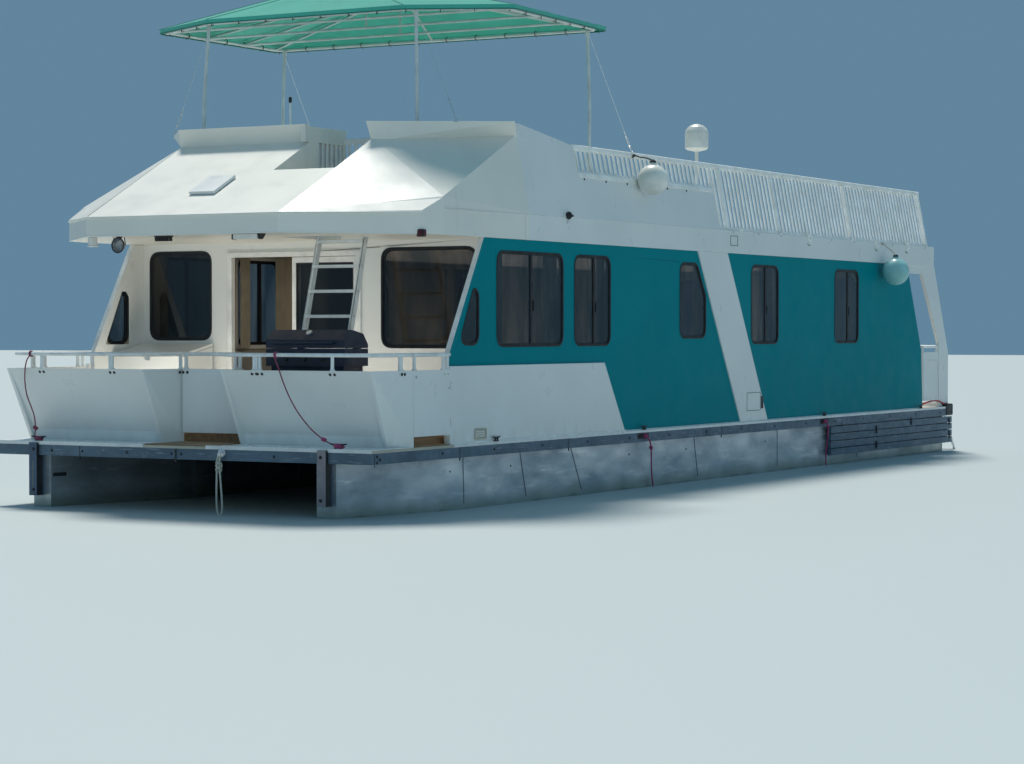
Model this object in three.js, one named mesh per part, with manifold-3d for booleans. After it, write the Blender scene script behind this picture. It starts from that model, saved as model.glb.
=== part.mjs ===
// A twin-pontoon houseboat with a flybridge, in millimetres: +X to port, +Y aft, +Z up.
// The group's origin is the middle of the boat's box, at the bottom of the pontoons.
import * as THREE from "three";
import { ConvexGeometry } from "three/addons/geometries/ConvexGeometry.js";
import { mergeVertices } from "three/addons/utils/BufferGeometryUtils.js";
import Module from "manifold-3d";

const wasm = await Module();
wasm.setup();

// Driving dimensions. Lengths run aft from the deck's front edge, heights up from the deck.
const BEAM = 4880;
const LENGTH = 17070;
const DECK_TOP = 1250; // above the bottom of the pontoons
const HEADROOM = 2200; // underside of the roof
const GAP = 0.4; // between pieces that touch
const CLEAR = 8; // between pieces that move

const HALF = BEAM / 2;
const DECK_THICK = 28;
const BEAM_DEPTH = 140; // edge beam, from the deck's top down
const EDGE_THICK = 60;
const CROSS_BEAMS = { count: 7, pitch: 2130, width: 60 };

const PONTOON = {
  inner: 1300, outer: 2350, stem: [1720, 1955], nose: 94, shoulder: 1830, stern: 16850, rake: 900, bilge: 260,
};
const POST = { x: 1862, half: 52, depth: 90, foot: -570 }; // guide posts at the bow
const BULWARK = { top: 790, plinth: 120, base: 480, lip: 120, thick: 40, gate: 362, mouth: 505, recess: 670 };
const BOW_CORNER = { low: 2322, high: 2352 }; // how far out a bulwark's front reaches, at foot and top
const SIDE_GATE = { fore: 790, aft: 1535 };
const RAIL = { z: 948, r: 19, post: 16 };
const WALL = { out: 2380, thick: 50, fore: 1545, bulkhead: 2500, aft: 15050 };
const ROOF = { out: 2400, top: 2500, aft: 16300, lean: 0.19 };
const BRIDGE = { joint: 3300, low: 4620, step: 8320, wallTop: 3020, railTop: 3320 };
const HATCH = { x: [460, 1250], y: [1150, 2420] }; // way up from the bow deck to the roof
const PICKET = { pitch: 120, width: 34, thick: 20 };
const CANOPY = { hem: 4760, ridge: 5280, ridgeRun: [3400, 4500], thick: 14, pipe: 64 };
const CANOPY_PLAN = [[1330, 2380], [2420, 2920], [2350, 5290]]; // the port half's corners, from the bow aft
const DRIVE = { x: 650, steerY: 17170, tiltY: 17262, tiltZ: -275, shaftZ: -960, end: 17800 };

const COLOURS = {
  white: [0xe9ebe6, 0.35, 0],
  teal: [0x00767f, 0.35, 0],
  grey: [0x6d7f8e, 0.5, 0.4],
  aluminium: [0xa4adb3, 0.45, 0.8],
  deck: [0xd8d2c2, 0.8, 0],
  mint: [0x66d9c4, 0.8, 0],
  navy: [0x161c2e, 0.4, 0.2],
  black: [0x15171a, 0.5, 0],
  rope: [0x7c2048, 0.9, 0],
  pale: [0xe7e2d4, 0.9, 0],
  aqua: [0x8fd6d3, 0.4, 0],
};
const materials = Object.fromEntries(
  Object.entries(COLOURS).map(([name, [color, roughness, metalness]]) => [
    name,
    new THREE.MeshStandardMaterial({ color, roughness, metalness }),
  ]),
);

// Closed geometry as a solid for joins and cuts, and back.
function solid(geometry) {
  const bare = geometry.clone();
  for (const extra of ["normal", "uv"]) bare.deleteAttribute(extra);
  const merged = mergeVertices(bare, 1e-3);
  const triVerts = new Uint32Array(merged.index.array);
  const vertProperties = new Float32Array(merged.attributes.position.array);
  return new wasm.Manifold(new wasm.Mesh({ numProp: 3, vertProperties, triVerts }));
}

function surface(made) {
  const mesh = made.getMesh();
  const geometry = new THREE.BufferGeometry();
  geometry.setAttribute("position", new THREE.BufferAttribute(new Float32Array(mesh.vertProperties), 3));
  geometry.setIndex(new THREE.BufferAttribute(new Uint32Array(mesh.triVerts), 1));
  return geometry;
}

const join = (...pieces) => surface(pieces.flat().map(solid).reduce((a, b) => a.add(b)));
const cut = (body, ...tools) => surface(tools.flat().map(solid).reduce((a, b) => a.subtract(b), solid(body)));
const common = (a, b) => surface(solid(a).intersect(solid(b)));

// The same piece on the other side of the boat, with its faces turned back outwards.
function mirrored(geometry) {
  const other = mergeVertices(geometry.clone(), 1e-3);
  other.scale(-1, 1, 1);
  const index = other.index.array;
  for (let i = 0; i < index.length; i += 3) [index[i], index[i + 1]] = [index[i + 1], index[i]];
  return other;
}

// A box between two corners, given as ranges along X, Y and Z.
function block(x, y, z) {
  const size = [x, y, z].map(([low, high]) => high - low);
  const centre = [x, y, z].map(([low, high]) => (low + high) / 2);
  return new THREE.BoxGeometry(...size).translate(...centre);
}

const extruded = (points, depth) =>
  new THREE.ExtrudeGeometry(new THREE.Shape(points.map(([u, v]) => new THREE.Vector2(u, v))), {
    depth,
    bevelEnabled: false,
  });

// Plates: an outline given in (y, z), (x, z) or (x, y), with thickness along the third axis.
function plateX(points, [low, high]) {
  const turn = new THREE.Matrix4().set(0, 0, 1, low, 1, 0, 0, 0, 0, 1, 0, 0, 0, 0, 0, 1);
  return extruded(points, high - low).applyMatrix4(turn);
}

function plateY(points, [low, high]) {
  const turn = new THREE.Matrix4().set(1, 0, 0, 0, 0, 0, -1, high, 0, 1, 0, 0, 0, 0, 0, 1);
  return extruded(points, high - low).applyMatrix4(turn);
}

const plateZ = (points, [low, high]) => extruded(points, high - low).translate(0, 0, low);

// A plate of one of those kinds with openings cut right through it.
function pierced(plate, points, [low, high], holes) {
  return cut(plate(points, [low, high]), holes.map((hole) => plate(hole, [low - 20, high + 20])));
}

const rectangle = ([a, b], [c, d]) => [[a, c], [b, c], [b, d], [a, d]];
const hull = (points) => new ConvexGeometry(points.map((p) => new THREE.Vector3(...p)));

// A round bar from a to b, and a run of such bars joined at round corners.
function bar(a, b, r, sides = 10) {
  const from = new THREE.Vector3(...a);
  const along = new THREE.Vector3(...b).sub(from);
  const geometry = new THREE.CylinderGeometry(r, r, along.length(), sides);
  geometry.translate(0, along.length() / 2, 0);
  const turn = new THREE.Quaternion().setFromUnitVectors(new THREE.Vector3(0, 1, 0), along.normalize());
  return geometry.applyQuaternion(turn).translate(...a);
}

function pipe(points, r, sides = 10) {
  const bars = points.slice(1).map((point, i) => bar(points[i], point, r, sides));
  const bends = points.slice(1, -1).map((p) => new THREE.SphereGeometry(r * 1.02, sides, 6).translate(...p));
  return join(bars, bends);
}

// A body of revolution about the Z axis through (x, y), from a profile of (radius, z) points.
function turned(profile, x, y, sides = 24) {
  const points = profile.map(([radius, z]) => new THREE.Vector2(radius, z));
  return new THREE.LatheGeometry(points, sides).rotateX(Math.PI / 2).translate(x, y, 0);
}

const boat = new THREE.Group();
const hullGroup = new THREE.Group();
const house = new THREE.Group();
house.position.z = DECK_TOP;
boat.add(hullGroup, house);

function add(group, name, geometry, material) {
  const mesh = new THREE.Mesh(geometry, materials[material]);
  mesh.name = name;
  group.add(mesh);
}

function addPair(group, name, geometry, material) {
  add(group, name + "_port", geometry, material);
  add(group, name + "_starboard", mirrored(geometry), material);
}

// Hull: pontoons, the frame that ties them together, and the deck on it.
function pontoon() {
  const { inner, outer, stem: [thin, wide], nose, shoulder, stern, rake, bilge } = PONTOON;
  const top = DECK_TOP - BEAM_DEPTH - GAP;
  const steps = [0, 30, 60, 90].map((degrees) => THREE.MathUtils.degToRad(degrees));
  const round = (cx, hand) => steps.map((a) => [cx + hand * bilge * Math.sin(a), bilge * (1 - Math.cos(a))]);
  const sides = [[outer, top], [inner, top]];
  const section = [...round(outer - bilge, 1), ...sides, ...round(inner + bilge, -1).reverse()];
  const bow = steps.map((a) => [nose + rake * (1 - Math.sin(a)), 520 * (1 - Math.cos(a))]);
  const profile = [[nose, top], ...bow.reverse(), [stern - 600, 0], [stern, 450], [stern, top]];
  const plan = [
    [thin, nose], [wide, nose], [outer, shoulder], [outer, stern], [inner, stern], [inner, shoulder],
  ];
  const sharp = common(plateX(profile, [inner, outer]), plateZ(plan, [0, top]));
  return common(plateY(section, [nose, stern]), sharp);
}

function deckOutline(inset) {
  const x = HALF - inset;
  return [[-x, inset], [x, inset], [x, LENGTH - inset], [-x, LENGTH - inset]];
}

function deckFrame() {
  const under = DECK_TOP - BEAM_DEPTH;
  const over = DECK_TOP - DECK_THICK - GAP;
  const ring = pierced(plateZ, deckOutline(0), [under, over], [deckOutline(EDGE_THICK)]);
  const crossings = [];
  for (let i = 1; i <= CROSS_BEAMS.count; i++) {
    const y = i * CROSS_BEAMS.pitch;
    crossings.push(block([-HALF + 30, HALF - 30], [y, y + CROSS_BEAMS.width], [under + 4, over - 4]));
  }
  const posts = [-1, 1].map((side) => {
    const x = side * POST.x;
    return block([x - POST.half, x + POST.half], [-30, POST.depth], [DECK_TOP + POST.foot, over]);
  });
  return join(ring, crossings, posts);
}

function sidePlanking() {
  const [fore, aft] = [12000, LENGTH - 30];
  const low = DECK_TOP - 570;
  const depth = (DECK_TOP - BEAM_DEPTH - 12 - low) / 4;
  const boards = [0, 1, 2, 3].map((i) => {
    const z = low + i * depth;
    return block([HALF - 42, HALF], [fore, aft], [z + 6, z + depth - 6]);
  });
  const battens = [fore + 100, (fore + aft) / 2, aft - 200].map((y) =>
    block([PONTOON.outer + GAP, HALF - 40], [y, y + 100], [low + 10, low + 4 * depth - 10]),
  );
  return join(boards, battens);
}

addPair(hullGroup, "pontoon", pontoon(), "aluminium");
add(hullGroup, "deck_frame", deckFrame(), "grey");
add(hullGroup, "deck", plateZ(deckOutline(0), [DECK_TOP - DECK_THICK, DECK_TOP - GAP]), "deck");
addPair(hullGroup, "side_planking", sidePlanking(), "grey");

// Bow bulwarks: flared front, upright side and an angled return to the middle gate, with a rail on top.
function railOn(points, posts) {
  const uprights = posts.map(([x, y]) => bar([x, y, BULWARK.top - 20], [x, y, RAIL.z], RAIL.post, 8));
  return [pipe(points.map(([x, y]) => [x, y, RAIL.z]), RAIL.r), ...uprights];
}

function bulwark() {
  const { top, plinth, base, lip, thick, recess, mouth } = BULWARK;
  const { low, high } = BOW_CORNER;
  const { fore } = SIDE_GATE;
  const foot = block([mouth, low], [base, base + thick], [0, plinth]);
  const flare = hull([
    [mouth, base, plinth], [low, base, plinth], [mouth, base + thick, plinth], [low, base + thick, plinth],
    [mouth, lip, top], [high, lip, top], [mouth, lip + thick, top], [high, lip + thick, top],
  ]);
  const edge = [[low, base, 0], [low, base, plinth], [high, lip, top], [HALF, fore, 0], [HALF, fore, top]];
  const side = hull([...edge, ...edge.map(([x, y, z]) => [x - thick, y, z])]);
  const end = BULWARK.gate + CLEAR;
  const turn = [
    [mouth, base, 0], [mouth, base, plinth], [mouth, lip, top], [end, recess, 0], [end, recess, top],
  ];
  const back = hull([...turn, ...turn.map(([x, y, z]) => [x + thick, y, z])]);
  const rail = railOn(
    [
      [end + 20, recess - 30], [mouth + 30, lip + 20], [2232, lip + 20],
      [2360, 400], [2400, 600], [HALF - 20, fore - 10],
    ],
    [[end + 25, recess - 35], [950, lip + 20], [1880, lip + 20], [2396, 590]],
  );
  return join(foot, flare, side, back, rail);
}

// A gate across the boat: a panel clear of the deck, with its own length of rail.
function crossGate([a, b], [fore, aft], high = BULWARK.top) {
  const middle = (fore + aft) / 2;
  const post = (x) => bar([x, middle, high - 20], [x, middle, RAIL.z], RAIL.post, 8);
  const posts = [a + 40, b - 40].map(post);
  const rail = bar([a + 8, middle, RAIL.z], [b - 8, middle, RAIL.z], RAIL.r);
  return join(block([a, b], [fore, aft], [110, high]), rail, posts);
}

function sideGate([fore, aft], [inner, outer], high = BULWARK.top) {
  const middle = (inner + outer) / 2;
  const post = (y) => bar([middle, y, high - 20], [middle, y, RAIL.z], RAIL.post, 8);
  const posts = [fore + 40, aft - 40].map(post);
  const rail = bar([middle, fore + 8, RAIL.z], [middle, aft - 8, RAIL.z], RAIL.r);
  return join(block([inner, outer], [fore, aft], [110, high]), rail, posts);
}

addPair(house, "bulwark", bulwark(), "white");
const gateBow = crossGate([-BULWARK.gate, BULWARK.gate], [BULWARK.recess - 42, BULWARK.recess - 6]);
add(house, "gate_bow", gateBow, "white");
const sideGateRun = [SIDE_GATE.fore + CLEAR, SIDE_GATE.aft - CLEAR];
addPair(house, "gate_bow_side", sideGate(sideGateRun, [HALF - 38, HALF - 2]), "white");

// Cabin walls, each as thick as the wall, with the windows and doorways cut.
const DOOR = { top: 2035, fore: [-1055, 652], aft: [-400, 400] };
const FRONT_WINDOWS = [rectangle([-2240, -1340], [1080, 2120]), rectangle([960, 2200], [1000, 2120])];
const AFT_WINDOWS = [rectangle([-1800, -900], [1000, 2000]), rectangle([900, 1800], [1000, 2000])];
const SILL = 1015;
const HEAD = 2075;
const FORE_WINDOWS = [
  [[1775, 1035], [2225, 1035], [2225, 1590], [2170, 1655], [2087, 1655]],
  rectangle([2588, 4130], [SILL, HEAD]),
  rectangle([4380, 5305], [SILL, HEAD]),
  [[7172, 1095], [7955, 1095], [7955, 1640], [7690, 2055], [7172, 2055]],
];
const REAR_WINDOWS = [rectangle([9352, 10268], [SILL, HEAD]), rectangle([12252, 13185], [SILL, HEAD])];
const BAND = [7695, 8575]; // the slanting band's top
const ceiling = HEADROOM - GAP;
const wallInner = WALL.out - WALL.thick;

function crossWall([left, right], y, windows) {
  const half = wallInner - GAP;
  const doorway = [[left, 0], [left, DOOR.top], [right, DOOR.top], [right, 0]];
  const shape = [[-half, 0], ...doorway, [half, 0], [half, ceiling], [-half, ceiling]];
  return pierced(plateY, shape, [y, y + WALL.thick], windows);
}

function foreWall() {
  const front = WALL.fore + 45;
  const wall = [[front, 0], [front, RAIL.z], [2320, ceiling], [BAND[0], ceiling], [9005, 0]];
  const lower = [[WALL.fore, 0], [WALL.fore, 822], [5070, 822], [5600, 0]];
  const rail = bar([HALF - 34, WALL.fore + 10, RAIL.z], [HALF - 85, front + 42, RAIL.z], RAIL.r);
  const skin = plateX(lower, [WALL.out - 5, HALF - 20]);
  return join(pierced(plateX, wall, [wallInner, WALL.out], FORE_WINDOWS), skin, rail);
}

function rearWall() {
  const start = GAP + BAND[0];
  const wall = [[start, ceiling], [15170, ceiling], [15800, 900], [15860, 0], [9005 + GAP, 0]];
  const band = [[start, ceiling], [BAND[1], ceiling], [9870, 0], [9005 + GAP, 0]];
  const plate = pierced(plateX, wall, [wallInner, WALL.out], REAR_WINDOWS);
  return join(plate, plateX(band, [WALL.out - 5, WALL.out + 14]));
}

function porchSide() {
  const frame = [
    [15175, ceiling], [15245, HEAD], [15840, HEAD], [16590, SILL], [16610, 0],
    [17020, 0], [17020, 860], [16370, ceiling],
  ];
  return plateX(frame, [wallInner, WALL.out]);
}

add(house, "cabin_front", crossWall(DOOR.fore, WALL.bulkhead, FRONT_WINDOWS), "white");
addPair(house, "cabin_side_fore", foreWall(), "teal");
addPair(house, "cabin_side_aft", rearWall(), "teal");
addPair(house, "porch_side", porchSide(), "white");
add(house, "cabin_aft", crossWall(DOOR.aft, WALL.aft, AFT_WINDOWS), "white");

// Doors: a glazed pair at the bow, the inner leaf sliding behind the fixed one, and a hinged one aft.
function slidingLeaf([left, right], y) {
  const z = [12, DOOR.top - 8];
  const across = [left + 60, right - 60];
  const panes = [rectangle(across, [z[0] + 90, 960]), rectangle(across, [1030, z[1] - 70])];
  return pierced(plateY, rectangle([left, right], z), y, panes);
}

const LEAF = { fixed: 880, sliding: 842 };
const leafFixed = [DOOR.fore[1] - LEAF.fixed, DOOR.fore[1] - GAP];
const leafSliding = [DOOR.fore[1] - CLEAR - LEAF.sliding, DOOR.fore[1] - CLEAR];
add(house, "front_door_fixed", slidingLeaf(leafFixed, [WALL.bulkhead + 2, WALL.bulkhead + 22]), "white");
add(house, "front_door_slide", slidingLeaf(leafSliding, [WALL.bulkhead + 60, WALL.bulkhead + 84]), "white");
const aftDoor = [DOOR.aft[0] + CLEAR, DOOR.aft[1] - CLEAR];
add(house, "aft_door", block(aftDoor, [WALL.aft + 10, WALL.aft + 50], [12, DOOR.top - CLEAR]), "white");

// Roof: the flybridge's front moulding over the bow deck, the roof deck, leaning sides and picket rails.
const leanX = (z) => ROOF.out - ROOF.lean * (z - ROOF.top);

function bothSides(points) {
  return points.flatMap(([x, y, z]) => [[x, y, z], [-x, y, z]]);
}

function bridgeFront() {
  const aft = BRIDGE.joint;
  const wedge = hull(bothSides([
    [1240, 110, HEADROOM], [1240, 110, 2400], [2320, 1145, HEADROOM], [2320, 1145, 2400],
    [ROOF.out, 1480, HEADROOM], [leanX(2600), 1480, 2600], [1280, 1860, 3267], [leanX(3370), aft, 3370],
    [ROOF.out, aft, HEADROOM], [ROOF.out, aft, ROOF.top],
  ]));
  const middle = hull(bothSides([
    [1280, 1860, 3240], [1280, 1930, 3240], [1250, 1750, 3450], [1250, 1830, 3450],
  ]));
  const corner = hull([
    [1280, 1860, 3240], [1230, 1930, 3240], [1250, 1750, 3450], [1200, 1830, 3450],
    [leanX(3340), aft, 3340], [leanX(3340) - 70, aft, 3340], [leanX(3500), aft, 3500],
    [leanX(3500) - 70, aft, 3500], [2330, 3090, 3500], [2270, 3150, 3500],
  ]);
  const well = hull(bothSides([ROOF.top, 3800].flatMap((z) => [
    [1180, 2010, z], [leanX(z) - 70, 3200, z], [leanX(z) - 70, aft + 200, z],
  ])));
  const hatch = block(HATCH.x, HATCH.y, [HEADROOM - 100, 3800]);
  const raised = join(wedge, middle, corner, mirrored(corner));
  const edge = [HATCH.x[0] - 60, HATCH.x[0] - GAP];
  const guard = [block(edge, [1760, 2570], [3260, 3430]), block(edge, [2520, 2570], [ROOF.top - 20, 3300])];
  return join(cut(raised, well, hatch), guard);
}

const shear = new THREE.Matrix4().set(
  1, 0, -ROOF.lean, ROOF.lean * ROOF.top,
  0, 1, 0, 0,
  0, 0, 1, 0,
  0, 0, 0, 1,
);

function bridgeSide() {
  const fore = BRIDGE.joint + GAP;
  const foot = ROOF.top + GAP;
  const shape = [
    [fore, foot], [fore, 3500], [3400, 3500], [BRIDGE.low, 3330], [BRIDGE.low, BRIDGE.wallTop],
    [BRIDGE.step, BRIDGE.wallTop], [BRIDGE.step, foot],
  ];
  return plateX(shape, [ROOF.out - 70, ROOF.out]).applyMatrix4(shear);
}

// Pickets from y to y, between a low and a high rail.
function pickets([from, to], [low, high], x) {
  const count = Math.floor((to - from) / PICKET.pitch);
  const start = from + (to - from - count * PICKET.pitch) / 2;
  return Array.from({ length: count + 1 }, (_, i) => {
    const y = start + i * PICKET.pitch;
    return block([x, x + PICKET.thick], [y - PICKET.width / 2, y + PICKET.width / 2], [low + 8, high - 8]);
  });
}

function sideRail() {
  const x = ROOF.out - 50;
  const across = [x - 8, x + PICKET.thick + 8];
  const { low, step, wallTop, railTop } = BRIDGE;
  const aft = 16050;
  const top = block(across, [low + 10, aft], [railTop - 36, railTop]);
  const foreFoot = block(across, [low + 10, step - 8], [wallTop + GAP, wallTop + 30]);
  const aftFoot = block(across, [step + 10, aft], [ROOF.top + GAP, ROOF.top + 34]);
  const posts = [step + 10, 10300, 12900, aft - 50].map((y) =>
    block(across, [y, y + 50], [ROOF.top + GAP + 1, railTop - 2]),
  );
  const fore = pickets([low + 60, step - 60], [wallTop, railTop], x);
  const rear = pickets([step + 130, aft - 120], [ROOF.top, railTop], x);
  return join(top, foreFoot, aftFoot, posts, fore, rear).applyMatrix4(shear);
}

const roofRun = [BRIDGE.joint + GAP, ROOF.aft];
add(house, "flybridge_front", bridgeFront(), "white");
add(house, "roof_deck", block([-ROOF.out, ROOF.out], roofRun, [HEADROOM, ROOF.top]), "white");
addPair(house, "flybridge_side", bridgeSide(), "white");
addPair(house, "roof_rail", sideRail(), "white");

// Canopy over the flybridge.
function canopyOutline(inset) {
  const middle = (CANOPY_PLAN[0][1] + CANOPY_PLAN[2][1]) / 2;
  const [across, along] = [1 - inset / CANOPY_PLAN[1][0], 1 - inset / (CANOPY_PLAN[2][1] - middle)];
  return CANOPY_PLAN.map(([x, y]) => [x * across, middle + (y - middle) * along]);
}

function canopyFabric() {
  const { hem, ridge, ridgeRun, thick } = CANOPY;
  const shell = (inset, drop, foot) => hull([
    ...bothSides(canopyOutline(inset).flatMap(([x, y]) => [[x, y, foot], [x, y, hem - drop]])),
    ...ridgeRun.map((y) => [0, y, ridge - drop]),
  ]);
  return cut(shell(0, 0, hem - 60), shell(thick, thick, hem - 100));
}

const knob = (x, y, z, r) => new THREE.SphereGeometry(r, 9, 7).translate(x, y, z);

function canopyFrame() {
  const z = CANOPY.hem - 36;
  const half = canopyOutline(CANOPY.pipe).map(([x, y]) => [x, y, z]);
  const loop = [...half, ...half.map(([x, y]) => [-x, y, z]).reverse()];
  const edge = loop.flatMap((corner, i) => [
    bar(corner, loop[(i + 1) % loop.length], 19, 6),
    knob(...corner, 25),
  ]);
  const [, [foreX, foreY], [aftX, aftY]] = half;
  const purlins = [2960, 3550, 4150, 4750].map((y) => {
    const x = foreX + ((aftX - foreX) * (y - foreY)) / (aftY - foreY);
    return bar([-x, y, z], [x, y, z], 15, 6);
  });
  const leg = (x, y, topX, topY) => [
    bar([x, y, ROOF.top + 4], [x, y, 3900], 17, 7),
    knob(x, y, 3900, 22),
    bar([x, y, 3900], [topX, topY, z], 17, 7),
    knob(topX, topY, z, 31),
  ];
  const legs = [-1, 1].flatMap((hand) => [
    leg(hand * 1440, 2490, hand * 1240, half[0][1] + 2),
    leg(hand * 2120, 5200, hand * 2070, half[2][1] - 2),
  ]);
  return join(edge, purlins, ...legs);
}

add(house, "canopy_fabric", canopyFabric(), "mint");
add(house, "canopy_frame", canopyFrame(), "white");

// Bow deck: the ladder through the roof hatch, the grill and the locker.
function ladder() {
  const [low, high] = [{ y: 1100, z: 2 }, { y: 1950, z: 2950 }];
  const [left, right] = [620, 1210];
  const stringer = (x) => hull([low, high].flatMap(({ y, z }) => [
    [x, y, z], [x + 30, y, z], [x, y + 75, z], [x + 30, y + 75, z],
  ]));
  const rise = 270;
  const treads = [];
  for (let z = rise; z < high.z - 100; z += rise) {
    const y = low.y + ((high.y - low.y) * z) / high.z;
    treads.push(block([left + 10, right + 20], [y - 15, y + 85], [z - 15, z + 15]));
  }
  return join(stringer(left), stringer(right), treads);
}

const GRILL = { x: [800, 1780], y: [520, 960], top: 1010 };
function grillBody() {
  const { x, y, top } = GRILL;
  const legs = [x[0] + 60, x[1] - 110].map((at) => block([at, at + 50], [y[0] + 60, y[1] - 60], [2, 300]));
  const cabinet = block([x[0] + 40, x[1] - 40], [y[0] + 40, y[1] - 40], [200, 840]);
  const ash = block([x[0] + 20, x[1] - 20], [y[0] + 20, y[1] - 20], [880, top + 50]);
  const firebox = cut(block(x, y, [830, top]), ash);
  return join(legs, cabinet, firebox);
}

function grillLid() {
  const { x, y: [fore, aft], top } = GRILL;
  const foot = top + 6;
  const dome = [
    [fore, foot], [aft, foot], [aft, foot + 40],
    [aft - 90, foot + 150], [fore + 130, foot + 190], [fore, foot + 90],
  ];
  const inner = [
    [fore + 15, foot - 20], [aft - 15, foot - 20], [aft - 15, foot + 30], [aft - 98, foot + 134],
    [fore + 134, foot + 174], [fore + 15, foot + 80],
  ];
  const shell = cut(plateX(dome, x), plateX(inner, [x[0] + 15, x[1] - 15]));
  const handle = bar([x[0] + 120, fore - 35, foot + 50], [x[1] - 120, fore - 35, foot + 50], 12, 8);
  const arms = [x[0] + 160, x[1] - 160].map((at) =>
    block([at - 10, at + 10], [fore - 40, fore + 8], [foot + 40, foot + 60]),
  );
  return join(shell, handle, arms);
}

const LOCKER = { x: [-2300, -1300], y: [1900, 2450], foreTop: 900, aftTop: 1010 };
function locker() {
  const { x, y: [fore, aft], foreTop, aftTop } = LOCKER;
  const body = plateX([[fore, 2], [aft, 2], [aft, aftTop], [fore, foreTop]], x);
  return cut(body, block([x[0] + 30, x[1] - 30], [fore + 30, aft - 30], [60, 1200]));
}

function lockerLid() {
  const { x, y: [fore, aft], foreTop, aftTop } = LOCKER;
  const nose = fore - 20;
  return plateX([[nose, foreTop + 4], [aft, aftTop + 8], [aft, aftTop + 38], [nose, foreTop + 34]], x);
}

add(house, "ladder", ladder(), "white");
add(house, "grill", grillBody(), "navy");
add(house, "grill_lid", grillLid(), "black");
add(house, "bow_locker", locker(), "white");
add(house, "bow_locker_lid", lockerLid(), "white");

// Helm inside the port front window.
const HELM = { x: 1650, y: 3105, z: 1010, r: 185, tilt: 65 };
function helmConsole() {
  const shape = [[2620, 2], [3000, 2], [3000, 820], [2930, 960], [2620, 960]];
  const turn = THREE.MathUtils.degToRad(HELM.tilt);
  const reach = [HELM.x, HELM.y - 28 * Math.sin(turn), HELM.z - 28 * Math.cos(turn)];
  const column = bar([HELM.x, HELM.y - 190 * Math.sin(turn), HELM.z - 190 * Math.cos(turn)], reach, 30, 12);
  return join(plateX(shape, [1200, 2100]), column);
}

function helmWheel() {
  const rim = new THREE.TorusGeometry(HELM.r, 14, 8, 24);
  const spokes = [0, 60, 120].map((degrees) => {
    const a = THREE.MathUtils.degToRad(degrees);
    const [x, y] = [HELM.r * Math.cos(a), HELM.r * Math.sin(a)];
    return bar([-x, -y, 0], [x, y, 0], 9, 6);
  });
  const hub = bar([0, 0, -20], [0, 0, 22], 34, 12);
  const tilt = THREE.MathUtils.degToRad(HELM.tilt);
  return join(rim, spokes, hub).rotateX(-tilt).translate(HELM.x, HELM.y, HELM.z);
}

add(house, "helm_console", helmConsole(), "white");
add(house, "helm_wheel", helmWheel(), "black");

// Roof fittings: the antenna dome on its mast, and the vent lid on the front slope.
function antennaDome() {
  const foot = ROOF.top + GAP;
  const mast = [[0, foot], [70, foot], [70, foot + 12], [24, foot + 14], [24, 3530]];
  const bowl = [[120, 3550], [152, 3575], [155, 3760]];
  const cap = [20, 40, 60, 80].map((degrees) => {
    const a = THREE.MathUtils.degToRad(degrees);
    return [155 * Math.cos(a), 3760 + 130 * Math.sin(a)];
  });
  return turned([...mast, ...bowl, ...cap, [0, 3892]], 1900, 8690, 20);
}

const VENT = { x: [-235, 95], y: 590, length: 430, slope: Math.atan2(3267 - 2400, 1860 - 110) };
function ventLid() {
  const z = 2400 + (VENT.y - 110) * Math.tan(VENT.slope) + 7;
  return block(VENT.x, [0, VENT.length], [0, 32]).rotateX(VENT.slope).translate(0, VENT.y, z);
}

add(house, "antenna_dome", antennaDome(), "white");
add(house, "vent_lid", ventLid(), "grey");

// Ball fenders hung on short lanyards outside the rails: radius, centre and where the lanyard is tied.
const FENDERS = [
  { name: "fender_fore", r: 185, at: [2502, 6180, 3015], tie: [2262, 6150, 3312], material: "white" },
  { name: "fender_aft", r: 200, at: [2612, 14070, 2070], tie: [2416, 14050, 2490], material: "aqua" },
];
for (const { name, r, at: [x, y, z], tie, material } of FENDERS) {
  const eye = bar([x, y, z + r - 20], [x, y, z + r + 50], 34, 10);
  const lanyard = bar([x, y, z + r + 40], tie, 9, 6);
  addPair(house, name, join(new THREE.SphereGeometry(r, 18, 12).translate(x, y, z), eye, lanyard), material);
}

// Stern: side gates, the rail with its gate, the swim ladder, the engine pod and the two drives.
const porchGateRun = [15876, 16580];
addPair(house, "gate_stern_side", sideGate(porchGateRun, [wallInner + 12, WALL.out - 2], 860), "white");

const STERN_RAIL = { y: [16950, 16990], gate: 440, half: 2320 };
function sternRail() {
  const { y, gate: inner, half } = STERN_RAIL;
  const centre = (y[0] + y[1]) / 2;
  const toe = block([-half, half], y, [GAP, 60]);
  const each = [-1, 1].flatMap((side) => {
    const [a, b] = [side * (inner + 30), side * (half - 30)];
    const bars = [RAIL.z, 640, 350].map((z) => {
      const r = z === RAIL.z ? 20 : 13;
      return bar([a, centre, z], [b, centre, z], r, 8);
    });
    const posts = [0, 1, 2, 3].map((i) => {
      const x = a + ((b - a) * i) / 3;
      return bar([x, centre, 40], [x, centre, RAIL.z], 18, 8);
    });
    return [...bars, ...posts];
  });
  return join(toe, each);
}

function sternGate() {
  const { y, gate: inner } = STERN_RAIL;
  const centre = (y[0] + y[1]) / 2;
  const [a, b] = [-inner + 20, inner - 20];
  const bars = [RAIL.z, 640, 350, 110].map((z) => bar([a, centre, z], [b, centre, z], 14, 8));
  const posts = [a, b].map((x) => bar([x, centre, 95], [x, centre, RAIL.z + 18], 16, 8));
  return join(bars, posts);
}

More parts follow.
